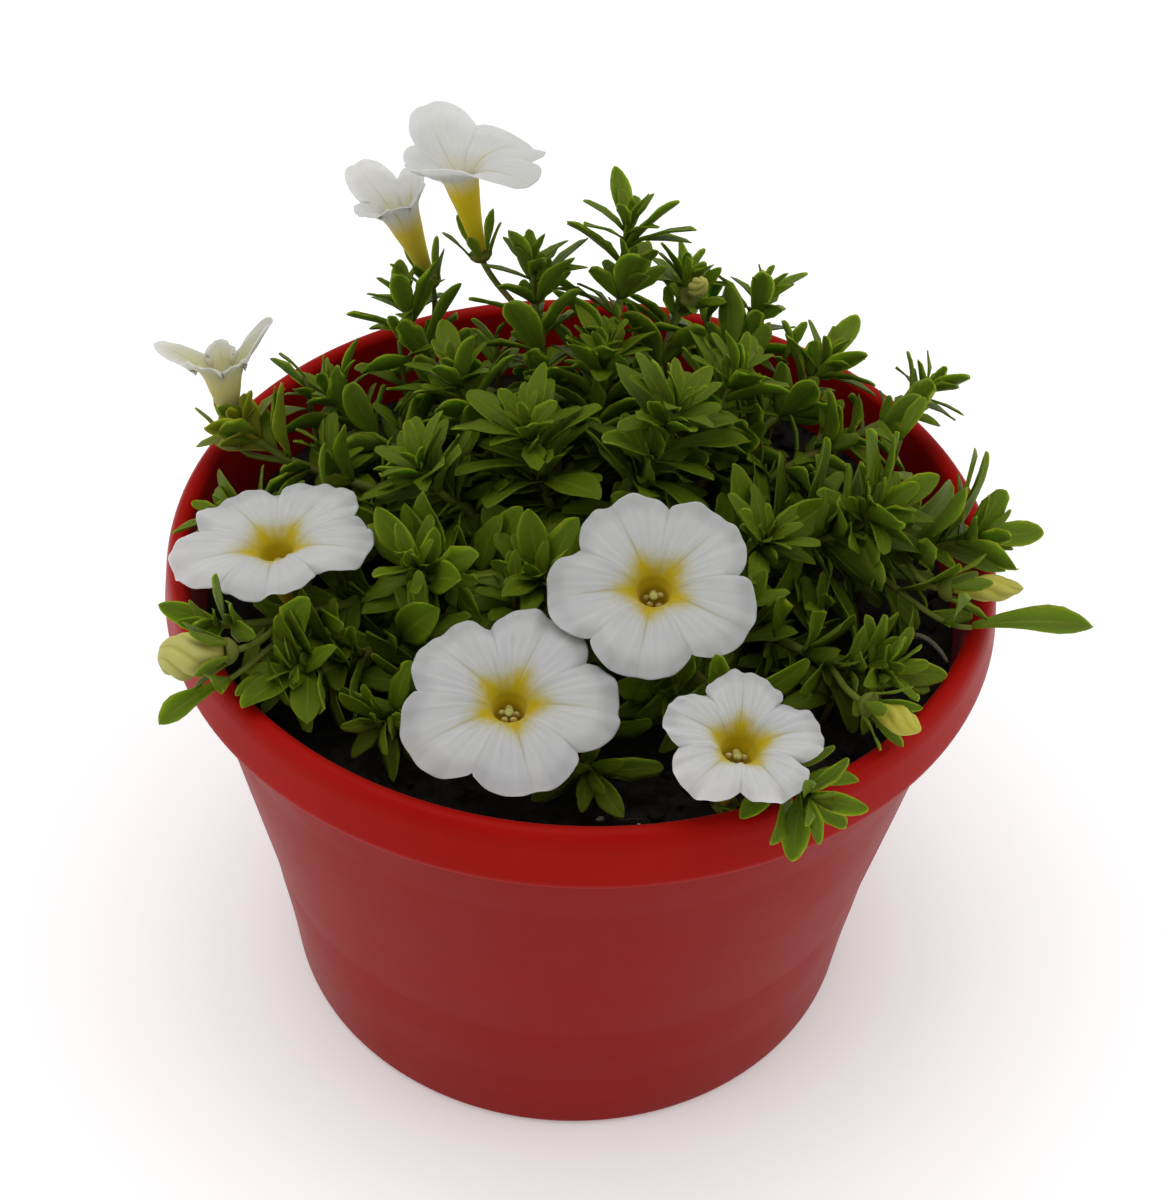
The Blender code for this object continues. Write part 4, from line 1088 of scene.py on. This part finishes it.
def make_young_shoots(leaf, stem, obstacles):
    rng = random.Random(SEED + 9)
    surfaces = []
    for root, tip, length in young_shoots(rng):
        surfaces.append(fine_tube(np.linspace(root, tip, YOUNG_ROWS), np.linspace(*YOUNG_RADII, YOUNG_ROWS)))
        rows = []
        for k in range(YOUNG_LEAVES):
            share = k / (YOUNG_LEAVES - 1)
            turn = k * GOLDEN_ANGLE + 5 * rng.random()
            pitch = math.radians(78 - 60 * share + 14 * rng.random())
            size = length * (0.78 + 0.3 * rng.random()) * (1 - 0.42 * share)
            place, width = root + (tip - root) * (0.22 + 0.78 * share), size * (0.44 - 0.08 * share)
            rows.append(leaf_row(place, unit(tip - root), turn, pitch, size, width, 0.75 * share))
        surfaces += little_leaves(rows, rng, obstacles)
    make_piece("foliage_young_shoots", surfaces, [leaf, stem])


# Fine flowers

TUBE_ROWS, LIMB_ROWS, PETAL_TURNS = 16, 31, 150
PETAL_SKIN, INNER_FOOT = 0.34, 0.12
GROOVE, RIDGE, VEIN, BILLOW, RIPPLES = 0.20, 0.22, 0.05, 0.35, ((0.34, 11), (0.24, 17), (0.16, 29))
RUFFLE = {"back": 0.2, "back_left": 0.4, "far_left_fading": 0.6}
STAR_AND_FADE = {"back": (0.2, 0.0), "back_left": (0.3, 0.15), "far_left_fading": (0.3, 1.0)}
LIMB_RISE = 0.22
FILAMENT_RADII, STYLE_RADII, HEART_SIDES = (0.13, 0.12, 0.10), (0.16, 0.15, 0.16), 6
ANTHER_RADII, STIGMA_RADII = (0.55, 0.42, 0.60), (0.72, 0.72, 0.42)
BUD_ROWS, BUD_TURNS = 40, 60
BUD_TONES = {"far_left_front": 0.40, "far_right": 0.85, "right_front": 1.0, "back_right": 0.6}


def corolla_relief(bloom, u, turn, rng):
    """Height of the limb's relief: a groove down each lobe's middle, a ridge between lobes, fine radial veins
    and an edge that ripples."""
    in_limb = np.clip((u - 0.5) / 0.5, 0, 1)[:, None]
    phase = turn - math.radians(bloom[8])
    lobe = np.cos(phase * PETALS)
    groove = -GROOVE * np.exp(-((1 - lobe) / 0.025)) * np.sin(np.pi * in_limb**0.8)
    ridge = RIDGE * np.exp(-((1 + lobe) / 0.03)) * np.sin(np.pi * in_limb**0.7)
    veins = VEIN * np.cos(phase * PETALS * 9) * in_limb * (1 - in_limb) * 4
    starts = rng.random(3) * WHOLE_TURN
    ripple = sum(height * np.sin(phase * count + start) for (height, count), start in zip(RIPPLES, starts))
    billow = BILLOW * np.sin(phase * 3 + starts[1] + 3 * in_limb) * in_limb**2
    return groove + ridge + veins + RUFFLE.get(bloom[0], 1.0) * (ripple * in_limb**3.5 + billow)


def fine_corolla(bloom, rng):
    """A thin trumpet: the plan's outer face moved by the relief along its own normal, and an inner face one
    skin inside it that runs down the tube to a closed end."""
    limb = 0.5 + 0.5 * np.linspace(0, 1, LIMB_ROWS) ** 0.85
    u = np.concatenate([np.linspace(0.0, 0.5, TUBE_ROWS)[:-1], limb])
    turn = ring_turns(PETAL_TURNS) + math.radians(bloom[8])
    facing = unit(bloom[3])
    surface = corolla_surface(bloom, u, turn)
    round_it = np.roll(surface, -1, axis=1) - np.roll(surface, 1, axis=1)
    normal = np.cross(np.gradient(surface, axis=0), round_it)
    normal /= np.maximum(np.linalg.norm(normal, axis=2, keepdims=True), 1e-9)
    inward = normal if np.einsum("ijk,k->", normal[-6:], facing) > 0 else -normal
    relief = LIMB_RISE * np.clip((u - 0.4) * 5, 0, 1)[:, None] + corolla_relief(bloom, u, turn, rng)
    outer = surface + inward * relief[..., None]
    inner = outer + inward * (PETAL_SKIN * np.clip((1.0 - u) * 6, 0.45, 1.0))[:, None, None]
    back = np.where(u >= INNER_FOOT)[0][::-1]
    rows = np.concatenate([u, u[back]])[:, None]
    outside = np.concatenate([np.ones(len(u)), np.zeros(len(back))])[:, None]
    phase = (turn - math.radians(bloom[8])) / (2 * np.pi) * PETALS
    ends = flower_base(bloom) + facing * SEAT_GAP, inner[back[-1]].mean(axis=0)
    star, fade = STAR_AND_FADE.get(bloom[0], (1.0, 0.0))
    return closed_surface(np.concatenate([outer, inner[back]]), ends, (phase, rows),
                          ((0.25, 0.0), (0.25, rows[-1, 0])), outside, (1.0, 0.0), star, fade)


def ellipsoid(centre, axes, radii, rows=8, turns=12, finish=0, tone=0.5):
    """Points centre + r1 sin a cos b, r2 sin a sin b, r3 cos a along three axes."""
    a, b = np.linspace(0.0, np.pi, rows)[1:-1, None], ring_turns(turns)
    local = np.stack(np.broadcast_arrays(
        radii[0] * np.sin(a) * np.cos(b), radii[1] * np.sin(a) * np.sin(b), radii[2] * np.cos(a)), axis=-1)
    ends = centre + np.array([(0, 0, radii[2]), (0, 0, -radii[2])]) @ np.asarray(axes)
    return closed_surface(centre + local @ np.asarray(axes), ends, tone=tone, finish=finish)


def flower_heart(bloom, rng):
    """Five anthers and a stigma on their filaments, down in the throat."""
    facing, tube = unit(bloom[3]), bloom[5]
    axes = (*flower_axes(facing), facing)
    foot = flower_base(bloom) + facing * (SEAT_GAP + tube * 0.10)
    for k in range(PETALS):
        out = around(axes, 2 * np.pi * (k + 0.3) / PETALS)
        top = foot + facing * tube * (0.66 + 0.07 * rng.random()) + out * (0.95 + 0.2 * rng.random())
        yield fine_tube([foot, (foot + top) / 2 + out * 0.1, top], FILAMENT_RADII, HEART_SIDES)
        yield ellipsoid(top, axes, ANTHER_RADII, finish=1, tone=0.9)
    top = foot + facing * tube * 0.78
    yield fine_tube([foot, (foot + top) / 2, top], STYLE_RADII, HEART_SIDES, finish=2)
    yield ellipsoid(top, axes, STIGMA_RADII, finish=2)


def fine_bud(bud):
    """A furled bud: the plan's swelling, with five pleats that twist and deepen towards the tip."""
    base, facing, length, radius, pointed = bud[2:]
    facing = unit(facing)
    start = np.array(base, float) + facing * SEAT_GAP
    t, turn = np.linspace(0.0, 0.985, BUD_ROWS)[:, None], ring_turns(BUD_TURNS)[None, :]
    twist = turn - BUD_TWIST * t - 1.6 * t * t
    pleat = 0.90 + (0.04 + 0.10 * t) * (np.abs(np.sin(twist * PETALS / 2)) - 0.5) * 2
    out = radius * bud_swell(t, pointed) * pleat * np.clip((1 - t) * 14, 0.15, 1.0) ** 0.5
    grid = flared(start, facing, side_axes(facing), out, t * length, turn)
    return closed_surface(grid, (start, start + facing * length), (twist / (2 * np.pi) * PETALS, t),
                          ((0.5, 0.0), (0.5, 1.0)), tone=BUD_TONES[bud[0]])


# Fine pot and compost

POT_TURNS = 192
CORNER_RADIUS = 0.55
COMPOST_TURNS, COMPOST_ROWS = 220, 74
CRUMBS, CRUMB_REACH, CRUMB_EDGE, PALE_SHARE = 900, 58.2, 58.6, 0.035
FIBRES, FIBRE_REACH = 90, 54.0
COMPOST_DIP = 0.6
DRILL_TURNS = 32
SHARP_ANGLE = 40
WALL_BELLY = [(56.9, 52.0), (59.5, 68.0)]
FINE_WALL = [WALL_RINGS[0], (50.85, 8.0), WALL_RINGS[1], (52.35, 22.0), WALL_RINGS[2]] + WALL_BELLY
FINE_SKIRT = [(61.75, 79.0), (61.9, GROOVE_TOP), (63.2, 86.0), (63.5, 80.7), (64.8, 80.7), (65.0, 81.6),
              (64.75, 83.4), (64.35, 85.9), (64.1, 87.6), (63.6, 89.0), (62.8, POT_HEIGHT)]
FINE_LIP = [(61.6, POT_HEIGHT), (RIM_INNER_RADIUS, POT_HEIGHT - 0.8), (60.4, 86.0)]
STRAW_ROWS, STRAW_RADII, FIBRE_RADII = 14, (0.60, 0.30), (0.12, 0.16, 0.08)
DRY_STRAW = [(46.5, -15.0, 79.6), (49.5, -12.5, 83.0), (53.5, -12.8, 83.0), (56.2, -17.6, 80.6)]
PALE_GRAINS = [(49.0, -16.8, 0.8), (50.6, -17.8, 0.9), (51.6, -19.6, 0.6), (49.4, -19.2, 0.7),
               (4.0, -50.0, 0.7), (-2.0, -52.5, 0.6), (9.5, -51.0, 0.5), (14.0, -50.5, 0.7)]


def rounded(profile, radius, steps=5):
    """A profile of (radius, height) without its ends, each corner of it made a short quadratic curve."""
    profile = [np.array(p, float) for p in profile]
    smooth = []
    for before, corner, after in zip(profile, profile[1:], profile[2:]):
        first, second = before - corner, after - corner
        a, b = np.linalg.norm(first), np.linalg.norm(second)
        cut = min(radius, a * 0.45, b * 0.45)
        p, q = corner + first / a * cut, corner + second / b * cut
        for share in np.linspace(0, 1, steps):
            smooth.append(p * (1 - share) ** 2 + 2 * corner * share * (1 - share) + q * share**2)
    return np.array(smooth)


def make_pot(finish):
    """The moulded pot: one turned wall with rounded corners, then its drain holes bored through the floor."""
    inside = inner_wall()[:1] + [(r - POT_WALL, z) for r, z in WALL_RINGS[1:3] + WALL_BELLY + WALL_RINGS[3:]]
    low, high = (0.0, 0.0), (0.0, FLOOR_TOP)
    profile = [low] + POT_FOOT + FINE_WALL + FINE_SKIRT + FINE_LIP + inside[::-1] + [high]
    profile = rounded(profile, CORNER_RADIUS)
    body = closed_surface(turned_grid(profile, POT_TURNS), [(0, *low), (0, *high)])
    pot = make_piece("turned_pot", [body], [finish], ["pot"])
    holes = []
    for k in range(DRAIN_HOLES):
        x, y = polar(DRAIN_CIRCLE, 2 * math.pi * (k + 0.5) / DRAIN_HOLES)
        points = [(x, y, z) for z in (-3.0, 1.0, FLOOR_TOP + 3.0)]
        holes.append(fine_tube(points, (DRAIN_RADIUS,) * 3, DRILL_TURNS, finish=0))
    drill = add_object("drill", joined_mesh("drill", holes))
    modifier = pot.modifiers.new("drain holes", "BOOLEAN")
    modifier.operation, modifier.solver, modifier.object = "DIFFERENCE", "MANIFOLD", drill
    bpy.context.view_layer.update()
    bored = bpy.data.meshes.new_from_object(pot.evaluated_get(bpy.context.evaluated_depsgraph_get()))
    pot.modifiers.clear()
    pot.data = bored
    bpy.data.objects.remove(drill, do_unlink=True)
    bored.shade_smooth()
    bored.set_sharp_from_angle(angle=math.radians(SHARP_ANGLE))


def lump_noise(x, y, rng, scale, octaves=5):
    """A sum of sine waves in random directions, each octave finer and lower, as a repeatable roughness."""
    total = np.zeros_like(x)
    for octave in range(octaves):
        for k in range(4):
            angle, phase = rng.random() * WHOLE_TURN, rng.random() * WHOLE_TURN
            wave = scale * 2**octave * (0.8 + 0.4 * rng.random())
            total += np.sin((x * math.cos(angle) + y * math.sin(angle)) * wave + phase) / 1.7**octave
    return total / 4


def make_compost(finish):
    """The compost's bed: a turned side and a top whose height is the plan's mound plus lumps."""
    rng = random.Random(SEED + 5)
    floor, top_edge = FLOOR_TOP + SOIL_GAP, SOIL_EDGE_Z - COMPOST_DIP
    side = [(r, z) for r, z in inner_wall(SOIL_GAP) if z < SOIL_EDGE_Z]
    side[0] = (side[0][0] - 0.2, floor)
    low, high = side[-1], inner_wall(SOIL_GAP)[-1]
    reach = low[0] + (high[0] - low[0]) * ((top_edge - low[1]) / (high[1] - low[1]))
    sides = turned_grid(side + [(reach, top_edge)], COMPOST_TURNS)
    radius = (reach - 0.15) * (1 - np.linspace(0, 1, COMPOST_ROWS)[:, None] ** 0.9 * 0.99)
    turn = ring_turns(COMPOST_TURNS)
    x, y = radius * np.cos(turn), radius * np.sin(turn)
    calm = np.clip((reach - radius) / 2.5, 0, 1)
    lumps = 0.75 * lump_noise(x, y, rng, 0.55) + 0.25 * lump_noise(x, y, rng, 2.1, 3)
    z = soil_height(x, y) + lumps * (0.25 + 0.75 * calm) - 0.3 * (1 - calm)
    rings = np.concatenate([sides, np.stack([x, y, z], axis=-1)])
    bed = closed_surface(rings, [(0, 0, floor), (0, 0, float(z[-1].mean()))], tone=0.2)
    make_piece("compost_bed", [bed], [finish], ["soil"])


def crumb(centre, size, rng, tone):
    """A lump: a small globe whose radius is uneven."""
    lump = ellipsoid(np.zeros(3), np.eye(3), (1, 1, 1), rows=6, turns=7, tone=tone)
    corners = lump["corners"]
    uneven = 1 + 0.28 * np.sin(corners @ np.array([rng.random() * 9 for k in range(3)]) + rng.random() * 6)
    turn = rng.random() * WHOLE_TURN
    axes = np.array(Matrix.Rotation(turn, 3, Vector((rng.random() - 0.5, rng.random() - 0.5, 1.0))))
    squat = np.array((1.0, 0.6 + 0.5 * rng.random(), 0.45 + 0.4 * rng.random()))
    lump["corners"] = centre + (corners * uneven[:, None] * squat * size) @ axes.T
    return lump


def on_compost(x, y, above):
    return np.array((x, y, soil_height(x, y) + above))


def make_crumbs(finish):
    """Loose crumbs, fibres and a few pale grains lying on the compost."""
    rng = random.Random(SEED + 6)
    pieces = []
    for k in range(CRUMBS):
        radius, turn = CRUMB_REACH * math.sqrt(rng.random()), rng.random() * 2 * math.pi
        size = 0.35 + 1.05 * rng.random() ** 3
        if radius > CRUMB_EDGE - size:
            continue
        tone = 1.0 if rng.random() < PALE_SHARE else 0.3 + 0.3 * rng.random()
        pieces.append(crumb(on_compost(*polar(radius, turn), 0.25 + size * 0.2), size, rng, tone))
    for k in range(FIBRES):
        radius, turn = FIBRE_REACH * math.sqrt(rng.random()), rng.random() * 2 * math.pi
        way = rng.random() * WHOLE_TURN
        ahead = np.array((math.cos(way), math.sin(way), 0.12 * (rng.random() - 0.3)))
        length = 2.0 + 3.5 * rng.random()
        start = on_compost(*polar(radius, turn), 0.8) - ahead * length / 2
        bend = np.array((-ahead[1], ahead[0], 0.0)) * 0.6 * (rng.random() - 0.5)
        points = [start, start + ahead * length / 2 + bend, start + ahead * length]
        pieces.append(fine_tube(points, FIBRE_RADII, 5, finish=0, tone=0.55 + 0.3 * rng.random()))
    straw, radii = cubic(DRY_STRAW, np.linspace(0, 1, STRAW_ROWS)), np.linspace(*STRAW_RADII, STRAW_ROWS)
    pieces.append(fine_tube(straw, radii, 6, finish=0, tone=1.0))
    for x, y, size in PALE_GRAINS:
        pieces.append(crumb(on_compost(x, y, 0.6), size, rng, 1.0))
    make_piece("compost_crumbs", pieces, [finish])


# The whole plant

def make_plant():
    leaf, stem, petal, bud = leaf_finish(), stem_finish(), petal_finish(), bud_finish()
    pollen = speckled_finish("pollen yellow", POLLEN, 0.7, POLLEN_DARK)
    stigma = speckled_finish("stigma green", STIGMA, 0.5, STIGMA_DARK)
    pot = obstacle(pot_solid())
    leaves = plan_leaves(pot)
    obstacles = [pot] + flower_obstacles(FLOWER_GUARD / 2)
    for number, shoot in enumerate(SHOOTS):
        name, rng = shoot[0], random.Random(SEED * 100 + number)
        surfaces = [fine_stem(shoot, rng)]
        surfaces += [fine_leaf(one, rng, LEAF_ROWS, LEAF_RING) for one in leaves[name]]
        rows = [*tip_rosette(shoot, rng), *axil_tufts(leaves[name], rng), *between_leaves(shoot, rng)]
        surfaces += little_leaves(rows, rng, obstacles)
        for row in PLACED_LEAVES:
            if row[0] == name:
                surfaces.append(fine_leaf(placed_leaf(row), rng, LEAF_ROWS, LEAF_RING))
                if row[2]:
                    twig = twig_points(row, TWIG_ROWS)
                    surfaces.append(fine_tube(twig, np.linspace(*TWIG_RADII, TWIG_ROWS)))
                    surfaces += little_leaves(twig_leaves(row, rng), rng, obstacles)
        for base, facing in flower_stalks(name):
            surfaces.append(fine_stalk(name, base, facing))
            surfaces += fine_calyx(base, facing, rng)
        for surface in surfaces:
            surface["age"] = surface["age"] + YELLOWING.get(name, 0.0)
        make_piece(f"foliage_{name}", surfaces, [leaf, stem], [f"leafy_stem_{name}"])
    make_young_shoots(leaf, stem, obstacles)
    for number, bloom in enumerate(BLOOMS):
        heart = flower_heart(bloom, random.Random(SEED * 200 + number))
        surfaces = [fine_corolla(bloom, np.random.default_rng(SEED * 10 + number)), *heart]
        make_piece(f"flower_{bloom[0]}", surfaces, [petal, pollen, stigma], [f"bloom_{bloom[0]}"])
    for one in BUDS:
        make_piece(f"furled_{one[0]}", [fine_bud(one)], [bud], [f"bud_{one[0]}"])


# Studio

PHOTO_WIDTH, PHOTO_HEIGHT = 1162, 1200
CAMERA_PLACE, CAMERA_AIM = (0.0, -0.229489, 0.283013), (0.0, 0.0, 0.060)
CAMERA_FOCAL, CAMERA_ROLL = 1926.4, 2.37
PRINCIPAL_POINT = (578.0, 663.8)
SENSOR_WIDTH = 36.0
FLOOR_REACH, FLOOR_GLOW = 6.0, 0.13
WHITE = (1.0, 1.0, 1.0, 1.0)
WORLD_LIGHT = 0.70

# Round softboxes: name, place and aim in metres, width, power
SOFTBOXES = [
    ("overhead softbox", (-0.10, 0.10, 1.10), (0, 0, 0.08), 1.0, 3.9),
    ("left softbox", (-0.90, -0.35, 0.55), (0, 0, 0.06), 0.7, 1.5),
    ("right softbox", (0.90, -0.10, 0.50), (0, 0, 0.06), 0.7, 1.5),
]


def looking(place, aim, roll=0.0):
    """A place and turn whose -Z looks at the aim, rolled about it by some degrees."""
    place, aim = Vector(place), Vector(aim)
    turn = (aim - place).normalized().to_track_quat("-Z", "Y").to_matrix()
    return Matrix.Translation(place) @ (turn @ Matrix.Rotation(math.radians(roll), 3, "Z")).to_4x4()


def make_camera():
    data = bpy.data.cameras.new("camera")
    data.sensor_fit, data.sensor_width = "HORIZONTAL", SENSOR_WIDTH
    data.lens = CAMERA_FOCAL / PHOTO_WIDTH * SENSOR_WIDTH
    data.shift_x = (PHOTO_WIDTH / 2 - PRINCIPAL_POINT[0]) / PHOTO_WIDTH
    data.shift_y = (PRINCIPAL_POINT[1] - PHOTO_HEIGHT / 2) / PHOTO_WIDTH
    data.clip_start, data.clip_end = 0.01, 20.0
    camera = add_object("camera", data)
    camera.matrix_world = looking(CAMERA_PLACE, CAMERA_AIM, CAMERA_ROLL)
    bpy.context.scene.camera = camera


def make_floor():
    """A pale floor: one wide flat sheet with a faint grain."""
    g = Graph("studio floor", (0.95,) * 3, 0.9, Specular_IOR_Level=0.1, Emission_Color=WHITE,
              Emission_Strength=FLOOR_GLOW)
    g.colour(g.mix(g.noise(g.place(), 3.0, 2.0), (0.94,) * 3, (0.96,) * 3))
    mesh = bpy.data.meshes.new("floor")
    corners = [(x * FLOOR_REACH, y * FLOOR_REACH, 0) for x, y in ((-1, -1), (1, -1), (1, 1), (-1, 1))]
    mesh.from_pydata(corners, [], [(0, 1, 2, 3)])
    mesh.materials.append(g.finish)
    floor = add_object("floor", mesh)


def make_lights():
    world = bpy.data.worlds.new("studio")
    world.use_nodes = True
    world.node_tree.nodes["Background"].inputs["Color"].default_value = WHITE
    world.node_tree.nodes["Background"].inputs["Strength"].default_value = WORLD_LIGHT
    bpy.context.scene.world = world
    for name, place, aim, width, power in SOFTBOXES:
        data = bpy.data.lights.new(name, "AREA")
        data.shape, data.size, data.energy = "DISK", width, power
        add_object(name, data).matrix_world = looking(place, aim)
    bpy.context.scene.view_settings.view_transform = "Standard"


make_camera()
make_floor()
make_lights()
make_pot(red_plastic_finish())
compost = compost_finish()
make_compost(compost)
make_crumbs(compost)
make_plant()
